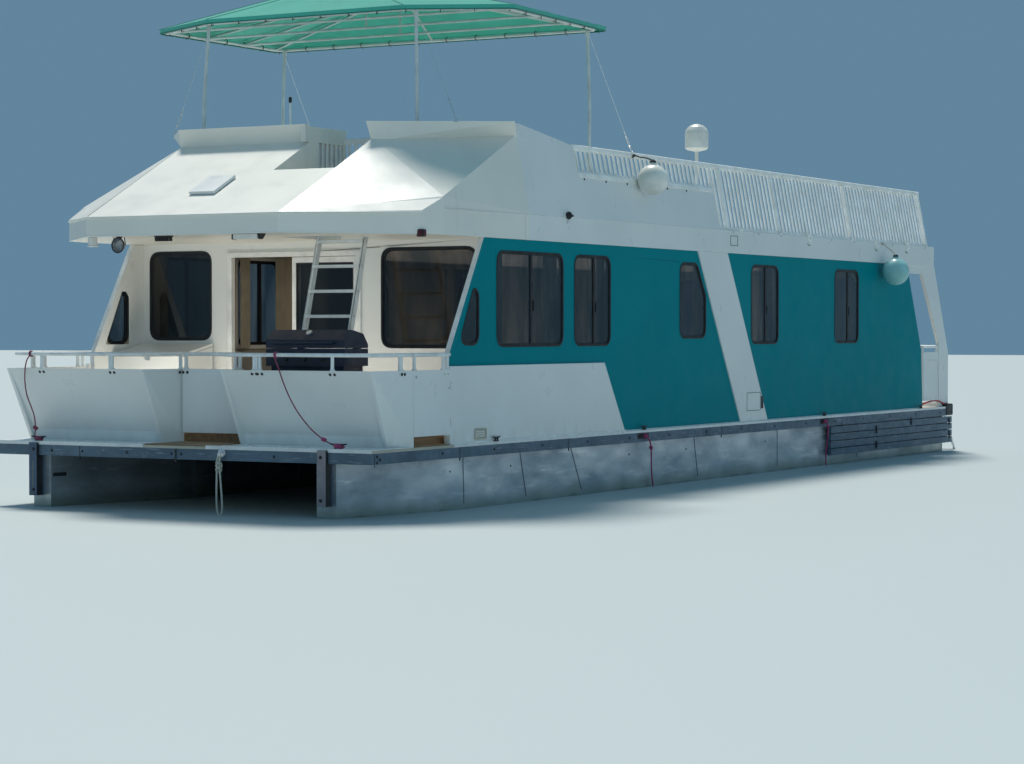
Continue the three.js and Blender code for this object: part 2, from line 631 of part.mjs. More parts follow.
const SWIM = { x: [1720, 2260], y: 17110, z: -60, footY: 17740, footZ: -780 };
function swimLadder() {
  const { x, y, z, footY, footZ } = SWIM;
  const rails = x.map((at) => bar([at, y, z], [at, footY, footZ], 20, 8));
  const treads = [0.2, 0.45, 0.7, 0.95].map((part) => {
    const [ty, tz] = [y + (footY - y) * part, z + (footZ - z) * part];
    return block(x, [ty - 45, ty + 45], [tz - 14, tz + 14]);
  });
  return join(rails, treads, bar([x[0] - 30, y, z], [x[1] + 30, y, z], 22, 8));
}

function enginePod() {
  const under = -BEAM_DEPTH - GAP;
  const shape = [[15300, under], [17120, under], [17120, -640], [16900, -900], [16100, -900], [15300, -480]];
  return plateX(shape, [-1100, 1100]);
}

// Each drive: an upright steering post, the leg that tilts on it, and the propeller.
function driveGimbal() {
  const { x, steerY, tiltY, tiltZ } = DRIVE;
  const post = bar([x, steerY, -430], [x, steerY, -150], 44, 16);
  const cheeks = [-1, 1].map((side) => {
    const at = x + side * 66;
    return block([at - 10, at + 10], [steerY, tiltY + 34], [tiltZ - 40, tiltZ + 40]);
  });
  return join(post, cheeks, block([x - 74, x + 74], [steerY, steerY + 40], [tiltZ - 60, tiltZ + 60]));
}

function driveLeg() {
  const { x, tiltY: y, tiltZ: z, shaftZ, end } = DRIVE;
  const knuckle = bar([x - 48, y, z], [x + 48, y, z], 34, 16);
  const housing = [
    [y, z - 30], [y, z + 30], [y + 70, z + 55], [y + 190, z + 140], [y + 320, z + 130], [y + 350, z - 60],
    [y + 300, z - 250], [y + 90, z - 250], [y + 70, z - 90],
  ];
  const leg = [[y + 95, z - 240], [y + 290, z - 240], [y + 280, shaftZ], [y + 110, shaftZ]];
  const plate = [[y + 70, -772], [y + 500, -772], [y + 500, -758], [y + 70, -758]];
  const skeg = [[y + 130, shaftZ], [y + 330, shaftZ], [y + 300, -1150], [y + 220, -1150]];
  const plates = [[housing, 46], [leg, 38], [plate, 105], [skeg, 10]];
  const gearcase = bar([x, y + 60, shaftZ], [x, end - 108, shaftZ], 56, 14);
  return join(knuckle, plates.map(([shape, half]) => plateX(shape, [x - half, x + half])), gearcase);
}

const PROP = { r: 165, hub: 46, blades: 4, length: 100 };
function propeller() {
  const { x, shaftZ, end } = DRIVE;
  const hub = bar([0, 0, 0], [0, PROP.length, 0], PROP.hub, 16);
  const blade = new THREE.BoxGeometry(110, 12, PROP.r - 20);
  blade.rotateZ(THREE.MathUtils.degToRad(28)).translate(0, PROP.length / 2, PROP.r / 2 + 10);
  const turn = (2 * Math.PI) / PROP.blades;
  const blades = Array.from({ length: PROP.blades }, (_, i) => blade.clone().rotateY(i * turn));
  return join(hub, blades).translate(x, end - PROP.length, shaftZ);
}

add(house, "stern_rail", sternRail(), "white");
add(house, "gate_stern", sternGate(), "white");
add(house, "swim_ladder", swimLadder(), "aluminium");
add(house, "engine_pod", enginePod(), "aluminium");
addPair(house, "drive_gimbal", driveGimbal(), "black");
addPair(house, "drive_leg", driveLeg(), "black");
addPair(house, "propeller", propeller(), "aluminium");

// Mooring lines: each hangs from a cleat, the ring or the rail. Points run from where it is made fast.
const LINES = {
  line_bow_port: {
    r: 7, material: "rope",
    route: [
      [1193, 108, 924], [1217, 104, 878], [1249, 100, 815], [1312, 98, 664], [1395, 98, 504],
      [1494, 100, 360], [1616, 100, 230], [1705, 98, 158], [1802, 92, 100], [1888, 86, 61],
      [1969, 82, 37], [2049, 80, 31],
    ],
  },
  line_bow_starboard: {
    r: 7, material: "rope",
    route: [
      [-2025, 108, 924], [-2057, 104, 880], [-2076, 100, 808], [-2082, 98, 721], [-2079, 98, 629],
      [-2057, 100, 503], [-1999, 100, 378], [-1954, 100, 271], [-1938, 100, 146], [-1941, 94, 65],
      [-1916, 88, 24], [-1845, 84, 24],
    ],
  },
  line_ring: {
    r: 10, material: "pale",
    route: [
      [600, -52, -92], [596, -62, -150], [592, -62, -240], [588, -60, -340], [584, -58, -440],
      [584, -58, -540], [588, -58, -620], [600, -58, -680], [622, -58, -708], [644, -58, -680],
      [654, -58, -620], [652, -58, -540], [644, -58, -440], [636, -60, -340], [630, -62, -240],
      [626, -62, -150], [624, -52, -92],
    ],
  },
  line_side_fore: {
    r: 9, material: "rope",
    route: [
      [2462, 6070, -60], [2474, 6100, -84], [2478, 6140, -120], [2474, 6180, -170], [2466, 6215, -240],
      [2450, 6250, -320], [2430, 6290, -400], [2412, 6330, -480], [2398, 6370, -560], [2390, 6405, -640],
      [2386, 6430, -720], [2384, 6445, -790],
    ],
  },
  line_side_aft: {
    r: 9, material: "rope",
    route: [
      [2462, 11730, -60], [2474, 11750, -84], [2478, 11775, -120], [2474, 11800, -180], [2462, 11825, -250],
      [2446, 11850, -330], [2428, 11875, -410], [2410, 11895, -490], [2396, 11915, -570], [2388, 11935, -650],
      [2386, 11950, -720], [2384, 11960, -790],
    ],
  },
};

function line({ r, route }) {
  const points = route.map((p) => new THREE.Vector3(...p));
  const path = new THREE.CatmullRomCurve3(points, false, "centripetal");
  const section = Array.from({ length: 8 }, (_, i) => {
    const a = (i * Math.PI) / 4;
    return new THREE.Vector2(r * Math.cos(a), r * Math.sin(a));
  });
  const steps = Math.round(path.getLength() / (5.5 * r));
  const shape = new THREE.Shape(section);
  return new THREE.ExtrudeGeometry(shape, { steps, extrudePath: path, bevelEnabled: false });
}

for (const [name, entry] of Object.entries(LINES)) add(house, name, line(entry), entry.material);

// The deck's front edge is at y 0 above, so the boat moves forward by half of its whole length.
const FOREMOST = -30;
boat.position.y = -(FOREMOST + DRIVE.end) / 2;

export default boat;
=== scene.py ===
# The houseboat's looks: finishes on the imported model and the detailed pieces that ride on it, in metres.
import math

import bmesh
import bpy
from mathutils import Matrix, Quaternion, Vector


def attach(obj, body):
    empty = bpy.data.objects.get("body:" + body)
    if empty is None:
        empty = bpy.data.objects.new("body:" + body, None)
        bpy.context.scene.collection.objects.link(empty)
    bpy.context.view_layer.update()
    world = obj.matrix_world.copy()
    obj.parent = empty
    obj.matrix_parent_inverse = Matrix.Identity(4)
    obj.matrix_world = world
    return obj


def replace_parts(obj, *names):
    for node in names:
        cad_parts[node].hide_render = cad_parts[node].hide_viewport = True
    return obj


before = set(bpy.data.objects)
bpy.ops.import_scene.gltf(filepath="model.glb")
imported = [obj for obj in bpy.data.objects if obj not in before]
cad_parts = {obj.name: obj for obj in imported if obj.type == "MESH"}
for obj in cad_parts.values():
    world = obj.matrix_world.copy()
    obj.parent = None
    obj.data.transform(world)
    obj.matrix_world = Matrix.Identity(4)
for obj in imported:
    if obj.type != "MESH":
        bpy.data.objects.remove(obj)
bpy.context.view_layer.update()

# Driving dimensions, in metres. Lengths run aft from the deck's front edge, heights up from the deck.
DECK_Y = -8.885
DECK_Z = 1.25
WATER = -0.70
HALF = 2.44
WALL_OUT = 2.38
WALL_THICK = 0.05
LINING_X = 2.362
BULKHEAD = 2.50
AFT_WALL = 15.05
ROOF_TOP = 2.50
BELT_X = 2.40
LEAN = 0.19
RAIL_Z = 0.948
UP = Vector((0, 0, 1))
HANDS = (("port", 1), ("starboard", -1))
SIGNS = (1, -1)


def at(x, y, z):
    """A point given from the deck's front edge and the deck's height, in the frame."""
    return Vector((x, y + DECK_Y, z + DECK_Z))


def lean_x(z):
    return BELT_X - LEAN * (z - ROOF_TOP)


def circle(count):
    """Cosine and sine at even steps round a circle."""
    turns = [2 * math.pi * k / count for k in range(count)]
    return [(math.cos(t), math.sin(t)) for t in turns]


def washer(radius, height):
    return [(0, 0), (radius, 0), (radius, height), (0, height)]


# Mesh making
class Shape:
    """Gathers solids into one mesh."""

    def __init__(self):
        self.verts = []
        self.faces = []

    def add(self, verts, faces):
        start = len(self.verts)
        self.verts += [Vector(v) for v in verts]
        self.faces += [tuple(start + i for i in face) for face in faces]
        return self

    def hull(self, points):
        bm = bmesh.new()
        for p in points:
            bm.verts.new(p)
        bmesh.ops.convex_hull(bm, input=bm.verts)
        loose = [v for v in bm.verts if not v.link_faces]
        bmesh.ops.delete(bm, geom=loose, context="VERTS")
        bmesh.ops.dissolve_limit(bm, angle_limit=math.radians(1), verts=bm.verts, edges=bm.edges)
        bmesh.ops.recalc_face_normals(bm, faces=bm.faces)
        bm.verts.index_update()
        self.add([v.co.copy() for v in bm.verts], [[v.index for v in f.verts] for f in bm.faces])
        bm.free()
        return self

    def box(self, x, y, z):
        return self.hull([at(a, b, c) for a in x for b in y for c in z])

    def block(self, centre, size):
        """A box round a point of the frame."""
        half = [s / 2 for s in size]
        return self.hull([centre + Vector((a * half[0], b * half[1], c * half[2]))
                          for a in SIGNS for b in SIGNS for c in SIGNS])

    def prism(self, x, outline):
        """An outline in (y, z), carried across x."""
        return self.hull([at(a, *p) for a in x for p in outline])

    def loft(self, rings, closed=False, capped=True):
        """Joins rings of equal length, with caps on the first and last unless the run closes or is open."""
        n = len(rings[0])
        verts = [p for ring in rings for p in ring]
        faces = []
        count = len(rings)
        for i in range(count if closed else count - 1):
            a = i * n
            b = ((i + 1) % count) * n
            faces += [(a + j, a + (j + 1) % n, b + (j + 1) % n, b + j) for j in range(n)]
        if capped and not closed:
            faces.append(tuple(reversed(range(n))))
            faces.append(tuple(range((count - 1) * n, count * n)))
        return self.add(verts, faces)

    def tube(self, points, radius, sides=14, closed=False):
        points = [Vector(p) for p in points]
        radii = radius if isinstance(radius, (list, tuple)) else [radius] * len(points)
        ahead = points[1:] + [points[0] if closed else points[-1] * 2 - points[-2]]
        behind = [points[-1] if closed else points[0] * 2 - points[1]] + points[:-1]
        along = [(a - b).normalized() for a, b in zip(ahead, behind)]
        side = along[0].orthogonal().normalized()
        rings = []
        for i, (p, d, r) in enumerate(zip(points, along, radii)):
            if i:
                side = along[i - 1].rotation_difference(d) @ side
            side = (side - d * side.dot(d)).normalized()
            other = d.cross(side)
            rings.append([p + (side * c + other * s) * r for c, s in circle(sides)])
        return self.loft(rings, closed)

    def rod(self, a, b, radius, sides=16):
        return self.tube([a, b], radius, sides)

    def upright(self, x, y, z, radius, sides=16):
        return self.rod(at(x, y, z[0]), at(x, y, z[1]), radius, sides)

    def hoop(self, centre, u, v, radius, sides=10, count=16):
        """A closed ring of wire round a centre; u and v are its two half axes."""
        points = [centre + Vector(u) * c + Vector(v) * s for c, s in circle(count)]
        return self.tube(points, radius, sides, closed=True)

    def lathe(self, profile, centre, axis=UP, sides=40):
        """Profile of (radius, height) from one end on the axis to the other."""
        turn = UP.rotation_difference(Vector(axis).normalized())
        rings = []
        for r, h in profile:
            r = max(r, 1e-4)
            rings.append([centre + turn @ Vector((r * c, r * s, h)) for c, s in circle(sides)])
        return self.loft(rings)

    def ball(self, centre, r, sides=20):
        half = sides // 2
        arc = [math.pi * k / half for k in range(half + 1)]
        return self.lathe([(r * math.sin(a), -r * math.cos(a)) for a in arc], centre, UP, sides)


def make(name, shape, finish, body="hull", bevel=0.0, segments=2, smooth=True):
    mesh = bpy.data.meshes.new(name)
    mesh.from_pydata([tuple(v) for v in shape.verts], [], shape.faces)
    mesh.validate()
    bm = bmesh.new()
    bm.from_mesh(mesh)
    bmesh.ops.recalc_face_normals(bm, faces=bm.faces)
    bm.to_mesh(mesh)
    bm.free()
    obj = bpy.data.objects.new(name, mesh)
    bpy.context.scene.collection.objects.link(obj)
    mesh.materials.append(M[finish])
    finish_edges(obj, bevel, segments, smooth)
    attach(obj, body)
    return obj


def finish_edges(obj, bevel, segments=2, smooth=True):
    if bevel:
        edge = obj.modifiers.new("edge", "BEVEL")
        edge.width = bevel
        edge.segments = segments
        edge.limit_method = "ANGLE"
        edge.angle_limit = math.radians(35)
        edge.harden_normals = False
    for face in obj.data.polygons:
        face.use_smooth = smooth
    if smooth:
        sharp = math.radians(38)
        obj.data.set_sharp_from_angle(angle=sharp)
        normals = obj.modifiers.new("normals", "WEIGHTED_NORMAL")
        normals.keep_sharp = True


def smooth_route(points, per=8):
    """Points along a curve through the given ones."""
    points = [Vector(p) for p in points]
    ends = [points[0] * 2 - points[1], *points, points[-1] * 2 - points[-2]]
    out = []
    for i in range(1, len(ends) - 2):
        a, b, c, d = ends[i - 1 : i + 3]
        for k in range(per):
            t = k / per
            square = 2 * a - 5 * b + 4 * c - d
            cube = 3 * b - a - 3 * c + d
            out.append(0.5 * (2 * b + (c - a) * t + square * t * t + cube * t**3))
    out.append(points[-1])
    return out


def bent(points, radius, steps=5):
    """The corners of a route turned into arcs, for bent pipe."""
    points = [Vector(p) for p in points]
    out = [points[0]]
    for before, corner, after in zip(points, points[1:], points[2:]):
        reach = min(radius, (before - corner).length * 0.45, (after - corner).length * 0.45)
        a = corner + (before - corner).normalized() * reach
        b = corner + (after - corner).normalized() * reach
        for k in range(steps + 1):
            t = k / steps
            out.append(a * (1 - t) ** 2 + corner * 2 * t * (1 - t) + b * t * t)
    out.append(points[-1])
    return out


# Material making
class Paint:
    """A material with its node tree, and short calls for the nodes that the finishes use."""

    def __init__(self, name, colour, rough=0.5, metal=0.0):
        self.material = bpy.data.materials.new(name)
        self.material.use_nodes = True
        self.tree = self.material.node_tree
        self.shader = self.tree.nodes["Principled BSDF"]
        self.set("Base Color", (*colour, 1))
        self.set("Roughness", rough)
        self.set("Metallic", metal)
        self.material.diffuse_color = (*colour, 1)

    def set(self, socket, value):
        self.shader.inputs[socket].default_value = value

    def node(self, kind, **values):
        made = self.tree.nodes.new(kind)
        for key, value in values.items():
            setattr(made, key, value)
        return made

    def link(self, a, b):
        self.tree.links.new(a, b)

    def place(self, scale=(1, 1, 1)):
        coordinates = self.node("ShaderNodeTexCoord")
        mapping = self.node("ShaderNodeMapping")
        mapping.inputs["Scale"].default_value = scale
        self.link(coordinates.outputs["Object"], mapping.inputs["Vector"])
        return mapping.outputs["Vector"]

    def noise(self, scale, detail=4, stretch=(1, 1, 1), rough=0.55):
        made = self.node("ShaderNodeTexNoise")
        made.inputs["Scale"].default_value = scale
        made.inputs["Detail"].default_value = detail
        made.inputs["Roughness"].default_value = rough
        self.link(self.place(stretch), made.inputs["Vector"])
        return made.outputs["Fac"]

    def wave(self, scale, direction="X", stretch=(1, 1, 1), distort=0.0):
        made = self.node("ShaderNodeTexWave", bands_direction=direction)
        made.inputs["Scale"].default_value = scale
        made.inputs["Distortion"].default_value = distort
        self.link(self.place(stretch), made.inputs["Vector"])
        return made.outputs["Fac"]

    def ramp(self, value, low, high, a=0.0, b=1.0):
        made = self.node("ShaderNodeMapRange", clamp=True)
        for key, number in zip(("From Min", "From Max", "To Min", "To Max"), (low, high, a, b)):
            made.inputs[key].default_value = number
        self.link(value, made.inputs["Value"])
        return made.outputs["Result"]

    def math(self, operation, a, b=0.5):
        made = self.node("ShaderNodeMath", operation=operation)
        for socket, value in zip(made.inputs, (a, b)):
            if isinstance(value, (int, float)):
                socket.default_value = value
            else:
                self.link(value, socket)
        return made.outputs[0]

    def place_part(self, axis):
        coordinates = self.node("ShaderNodeTexCoord")
        split = self.node("ShaderNodeSeparateXYZ")
        self.link(coordinates.outputs["Object"], split.inputs[0])
        return split.outputs[axis]

    def mix(self, factor, a, b):
        made = self.node("ShaderNodeMix", data_type="RGBA")
        self.link(factor, made.inputs["Factor"])
        for socket, value in zip((made.inputs[6], made.inputs[7]), (a, b)):
            if isinstance(value, tuple):
                socket.default_value = (*value, 1)
            else:
                self.link(value, socket)
        return made.outputs[2]

    def colour(self, output):
        self.link(output, self.shader.inputs["Base Color"])
        return self

    def rough(self, output):
        self.link(output, self.shader.inputs["Roughness"])
        return self

    def bump(self, output, strength, distance):
        made = self.node("ShaderNodeBump")
        made.inputs["Strength"].default_value = strength
        made.inputs["Distance"].default_value = distance
        self.link(output, made.inputs["Height"])
        before = self.shader.inputs["Normal"]
        if before.is_linked:
            self.link(before.links[0].from_socket, made.inputs["Normal"])
        self.link(made.outputs["Normal"], self.shader.inputs["Normal"])
        return self


def tint(colour, factor):
    return tuple(min(1.0, c * factor) for c in colour)


def gelcoat(name, colour, streak, rough=0.32, gloss=0.2, lining=None):
    """Painted panels: uneven tone, run-off streaks, patchy darkening towards the deck and a wavy surface.
    Where a lining is given, what lies inboard of the side's outer face has its colour."""
    paint = Paint(name, colour, rough)
    paint.set("Coat Weight", gloss)
    paint.set("Coat Roughness", 0.15)
    paint.set("Specular IOR Level", 0.1 + 1.5 * gloss)
    blotch = paint.ramp(paint.noise(0.9, 3), 0.35, 0.7)
    base = paint.mix(blotch, tint(colour, 0.955), tint(colour, 1.02))
    runs = paint.ramp(paint.noise(5.0, 4, (1, 1, 0.08)), 0.62, 0.84)
    base = paint.mix(paint.math("MULTIPLY", runs, 0.22), base, streak)
    specks = paint.ramp(paint.noise(38.0, 2), 0.70, 0.80)
    base = paint.mix(paint.math("MULTIPLY", specks, 0.10), base, tint(streak, 0.7))
    # Darker towards the deck, in patches.
    low = paint.ramp(paint.place_part("Z"), 1.27, 1.50, 0.30, 0.0)
    low = paint.math("MULTIPLY", low, paint.ramp(paint.noise(7.0, 5, (1, 1, 0.5)), 0.38, 0.66))
    base = paint.mix(low, base, tint(streak, 0.8))
    if lining:
        outside = paint.math("GREATER_THAN", paint.math("ABSOLUTE", paint.place_part("X")), LINING_X)
        base = paint.mix(outside, lining, base)
    paint.colour(base)
    paint.rough(paint.ramp(paint.noise(3.0, 3), 0.3, 0.75, rough - 0.06, rough + 0.14))
    paint.bump(paint.noise(1.6, 2, (1, 1, 0.5)), 0.10, 0.02)
    paint.bump(paint.noise(160.0, 2), 0.04, 0.001)
    return paint.material


def scuffed(name, colour, mark, rough=0.5, metal=0.3):
    """Painted beams: rubbed patches and scratches along the boat."""
    paint = Paint(name, colour, rough, metal)
    base = paint.mix(paint.ramp(paint.noise(2.2, 4), 0.3, 0.7), tint(colour, 0.8), tint(colour, 1.18))
    rubbed = paint.ramp(paint.noise(9.0, 6, (1, 0.25, 1), 0.7), 0.58, 0.72)
    base = paint.mix(paint.math("MULTIPLY", rubbed, 0.6), base, mark)
    lines = paint.ramp(paint.noise(70.0, 2, (0.06, 0.03, 1)), 0.64, 0.70)
    paint.colour(paint.mix(paint.math("MULTIPLY", lines, 0.45), base, tint(mark, 1.15)))
    paint.rough(paint.ramp(paint.noise(12.0, 4), 0.3, 0.7, rough - 0.1, rough + 0.2))
    paint.bump(paint.noise(26.0, 5), 0.12, 0.002)
    return paint.material


def pontoon_metal(name):
    """Welded sheet: cloudy oxide, rubbing marks, a stained band above the water and growth below it."""
    bare = (0.52, 0.56, 0.59)
    paint = Paint(name, bare, 0.42, 0.75)
    cloud = paint.ramp(paint.noise(1.3, 6, (1, 0.5, 1.4), 0.62), 0.36, 0.66)
    base = paint.mix(cloud, (0.36, 0.41, 0.46), (0.66, 0.70, 0.73))
    marks = paint.ramp(paint.noise(10.0, 5, (1, 0.12, 1.2), 0.7), 0.56, 0.68)
    base = paint.mix(paint.math("MULTIPLY", marks, 0.55), base, (0.78, 0.80, 0.82))
    dark = paint.ramp(paint.noise(6.0, 6, (1, 0.3, 0.7), 0.7), 0.60, 0.75)
    base = paint.mix(paint.math("MULTIPLY", dark, 0.5), base, (0.22, 0.26, 0.30))
    height = paint.place_part("Z")
    ragged = paint.ramp(paint.noise(3.0, 4, (1, 1, 0.2)), 0.3, 0.7, -0.035, 0.035)
    edge = paint.math("ADD", height, ragged)
    stain = paint.ramp(edge, 0.60, 0.72, 0.65, 0.0)
    base = paint.mix(stain, base, (0.30, 0.33, 0.26))
    growth = paint.ramp(edge, 0.50, 0.57, 0.85, 0.0)
    paint.colour(paint.mix(growth, base, (0.10, 0.13, 0.08)))
    paint.rough(paint.ramp(paint.noise(5.0, 5, (1, 0.4, 1)), 0.3, 0.7, 0.30, 0.62))
    paint.bump(paint.noise(1.1, 2), 0.30, 0.03)
    paint.bump(paint.noise(30.0, 4, (1, 0.2, 1)), 0.15, 0.002)
    return paint.material


def nonskid(name, colour):
    paint = Paint(name, colour, 0.75)
    base = paint.mix(paint.ramp(paint.noise(1.2, 5), 0.3, 0.7), tint(colour, 0.82), tint(colour, 1.08))
    dirt = paint.ramp(paint.noise(5.0, 6, rough=0.7), 0.55, 0.75)
    paint.colour(paint.mix(paint.math("MULTIPLY", dirt, 0.45), base, tint(colour, 0.55)))
    paint.bump(paint.noise(240.0, 2), 0.55, 0.002)
    return paint.material


def canvas(name, colour):
    """Woven awning cloth: fine threads, fading, and light coming through it."""
    paint = Paint(name, colour, 0.85)
    fade = paint.ramp(paint.noise(0.8, 4), 0.3, 0.7)
    base = paint.mix(fade, tint(colour, 0.88), tint(colour, 1.08))
    dust = paint.ramp(paint.noise(6.0, 5, rough=0.7), 0.55, 0.8)
    base = paint.mix(paint.math("MULTIPLY", dust, 0.18), base, (0.55, 0.62, 0.58))
    paint.colour(base)
    paint.set("Sheen Weight", 0.3)
    threads = paint.math("ADD", paint.wave(260.0, "X"), paint.wave(260.0, "Y"))
    paint.bump(threads, 0.35, 0.0008)
    paint.bump(paint.noise(2.2, 3, (1, 0.5, 1)), 0.25, 0.02)
    translucent = paint.node("ShaderNodeBsdfTranslucent")
    paint.link(base, translucent.inputs["Color"])
    blend = paint.node("ShaderNodeMixShader")
    blend.inputs["Fac"].default_value = 0.30
    output = paint.tree.nodes["Material Output"]
    paint.link(paint.shader.outputs[0], blend.inputs[1])
    paint.link(translucent.outputs[0], blend.inputs[2])
    paint.link(blend.outputs[0], output.inputs["Surface"])
    return paint.material


def moulded(name, colour, rough=0.45, grain=90.0, metal=0.0):
    """Plastic, rubber and cast pieces: fine grain and handling marks."""
    paint = Paint(name, colour, rough, metal)
    base = paint.mix(paint.ramp(paint.noise(5.0, 4), 0.3, 0.7), tint(colour, 0.85), tint(colour, 1.12))
    marks = paint.ramp(paint.noise(16.0, 6, rough=0.72), 0.60, 0.74)
    lifted = tuple(min(1.0, c * 1.3 + 0.03) for c in colour)
    paint.colour(paint.mix(paint.math("MULTIPLY", marks, 0.5), base, lifted))
    paint.rough(paint.ramp(paint.noise(8.0, 4), 0.3, 0.7, rough - 0.08, rough + 0.15))
    paint.bump(paint.noise(grain, 3), 0.10, 0.001)
    return paint.material


def bright_metal(name, colour=(0.72, 0.73, 0.74), rough=0.28):
    paint = Paint(name, colour, rough, 1.0)
    spots = paint.ramp(paint.noise(20.0, 5, rough=0.7), 0.55, 0.75)
    paint.colour(paint.mix(paint.math("MULTIPLY", spots, 0.35), colour, tint(colour, 0.6)))
    paint.rough(paint.ramp(paint.noise(14.0, 4), 0.3, 0.7, rough - 0.08, rough + 0.15))
    paint.bump(paint.noise(60.0, 3), 0.05, 0.001)
    return paint.material


def twisted(name, colour, dark):
    """Laid rope: diagonal strands with painted shade in the grooves between them, fuzz and sun-bleached
    stretches.
    """
    paint = Paint(name, colour, 0.9)
    lay = paint.wave(85.0, "DIAGONAL", (1, 1, 1), 0.6)
    bleached = tuple(min(1, c * 1.25 + 0.05) for c in colour)
    base = paint.mix(paint.ramp(paint.noise(9.0, 3), 0.35, 0.7), colour, bleached)
    # The dark colour in the grooves between the strands is painted shade.
    paint.colour(paint.mix(paint.ramp(lay, 0.1, 0.6, 0.75, 0.0), base, dark))
    paint.set("Sheen Weight", 0.3)
    paint.bump(lay, 0.8, 0.003)
    paint.bump(paint.noise(420.0, 2), 0.3, 0.001)
    return paint.material


def tinted_glass(name, colour, see_through):
    paint = Paint(name, colour, 0.04)
    paint.set("Transmission Weight", see_through)
    paint.set("IOR", 1.45)
    paint.set("Specular IOR Level", 0.30)
    haze = paint.ramp(paint.noise(4.0, 4), 0.4, 0.8, 0.02, 0.10)
    paint.rough(haze)
    # Lighter patches across the glass: painted reflections.
    painted_reflections = paint.ramp(paint.noise(2.4, 3, (1, 1.6, 0.35)), 0.40, 0.66)
    paint.colour(paint.mix(painted_reflections, tint(colour, 0.75), (colour[0] * 2.4, colour[1] * 1.9, colour[2] * 1.7)))
    paint.bump(paint.noise(0.8, 1), 0.06, 0.02)
    return paint.material


def timber(name, colour):
    paint = Paint(name, colour, 0.6)
    grain = paint.noise(14.0, 6, (1, 0.08, 1), 0.65)
    paint.colour(paint.mix(paint.ramp(grain, 0.35, 0.65), tint(colour, 0.62), tint(colour, 1.15)))
    paint.bump(grain, 0.25, 0.002)
    return paint.material


WHITE = (0.80, 0.81, 0.79)
GRIME = (0.62, 0.62, 0.56)
M = {
    "white": gelcoat("white_gelcoat", WHITE, GRIME),
    "roof": gelcoat("roof_gelcoat", (0.83, 0.81, 0.74), (0.55, 0.50, 0.40), 0.42),
    "teal": gelcoat("teal_panel", (0.0, 0.235, 0.275), (0.0, 0.265, 0.30), 0.36, -0.05, (0.52, 0.47, 0.38)),
    "beam": scuffed("grey_beam", (0.105, 0.155, 0.205), (0.32, 0.37, 0.42)),
    "hull": pontoon_metal("pontoon_metal"),
    "post_port": scuffed("post_bare", (0.30, 0.27, 0.29), (0.42, 0.38, 0.40), 0.5, 0.4),
    "post_starboard": scuffed("post_blue", (0.085, 0.125, 0.185), (0.20, 0.26, 0.33), 0.45, 0.4),
    "deck": nonskid("deck_nonskid", (0.55, 0.50, 0.41)),
    "canvas": canvas("mint_canvas", (0.10, 0.62, 0.49)),
    # The hem cloth is a dark binding colour, and it also paints the shade on the front hem and the shadow
    # streaks along the rafters.
    "hem": canvas("mint_hem_and_painted_shade", (0.03, 0.30, 0.25)),
    "pipe": moulded("pale_pipe", (0.66, 0.69, 0.68), 0.35, 60.0, 0.2),
    "rail": moulded("rail_enamel", (0.78, 0.79, 0.78), 0.3),
    # The roof rails' enamel is a lighter, warmer copy of the rail enamel: painted sunlight.
    "roof_rail": moulded("rail_enamel_painted_sunlight", (0.94, 0.93, 0.87), 0.4),
    "black": moulded("black_plastic", (0.018, 0.019, 0.022), 0.5),
    "frame": moulded("window_frame", (0.006, 0.008, 0.012), 0.55, 40.0),
    "navy": moulded("navy_enamel", (0.004, 0.012, 0.036), 0.4, 50.0),
    "steel": bright_metal("stainless_steel"),
    "dull": bright_metal("cast_aluminium", (0.55, 0.57, 0.59), 0.42),
    "prop": bright_metal("propeller_alloy", (0.50, 0.49, 0.46), 0.34),
    # Each rope's second colour is the painted shade in the grooves between its strands.
    "maroon": twisted("maroon_rope", (0.33, 0.035, 0.10), (0.10, 0.008, 0.03)),
    "magenta": twisted("magenta_rope", (0.50, 0.03, 0.17), (0.16, 0.006, 0.05)),
    "pale_rope": twisted("pale_rope", (0.72, 0.68, 0.58), (0.34, 0.30, 0.24)),
    "ball_white": moulded("white_vinyl", (0.80, 0.80, 0.74), 0.35, 30.0),
    "ball_aqua": moulded("aqua_vinyl", (0.30, 0.60, 0.60), 0.35, 30.0),
    "glass": tinted_glass("tinted_glass", (0.125, 0.145, 0.155), 0.95),
    "clear": tinted_glass("clear_lens", (0.9, 0.93, 0.93), 1.0),
    "red": moulded("red_lens", (0.10, 0.008, 0.012), 0.2),
    "weld": moulded("weld_metal", (0.20, 0.235, 0.255), 0.5, 60.0, 0.5),
    "pale_grip": moulded("pale_grip", (0.62, 0.64, 0.62), 0.85),
    "wood": timber("threshold_wood", (0.33, 0.20, 0.105)),
    "beige": moulded("beige_plastic", (0.55, 0.50, 0.40), 0.5),
    "seam": moulded("seam_shadow", (0.16, 0.17, 0.17), 0.7),
    "cloth": canvas("seat_cloth", (0.50, 0.50, 0.47)),
    "hose": moulded("red_hose", (0.45, 0.05, 0.04), 0.4),
}


# Camera at the photograph's place, looking aft and to starboard, in millimetres, metres and degrees down.
LENS = 87.9
SENSOR = 36.0
EYE = at(15.83, -20.92, 1.194)
HEADING = (-0.491, 0.871)
PITCH = 1.17


def place_camera():
    camera = bpy.data.cameras.new("camera")
    camera.lens = LENS
    camera.sensor_width = SENSOR
    camera.clip_end = 400.0
    obj = bpy.data.objects.new("camera", camera)
    pitch = math.radians(PITCH)
    look = Vector((HEADING[0] * math.cos(pitch), HEADING[1] * math.cos(pitch), -math.sin(pitch)))
    obj.location = EYE
    obj.rotation_euler = look.to_track_quat("-Z", "Y").to_euler()
    bpy.context.scene.collection.objects.link(obj)
    bpy.context.scene.camera = obj


place_camera()

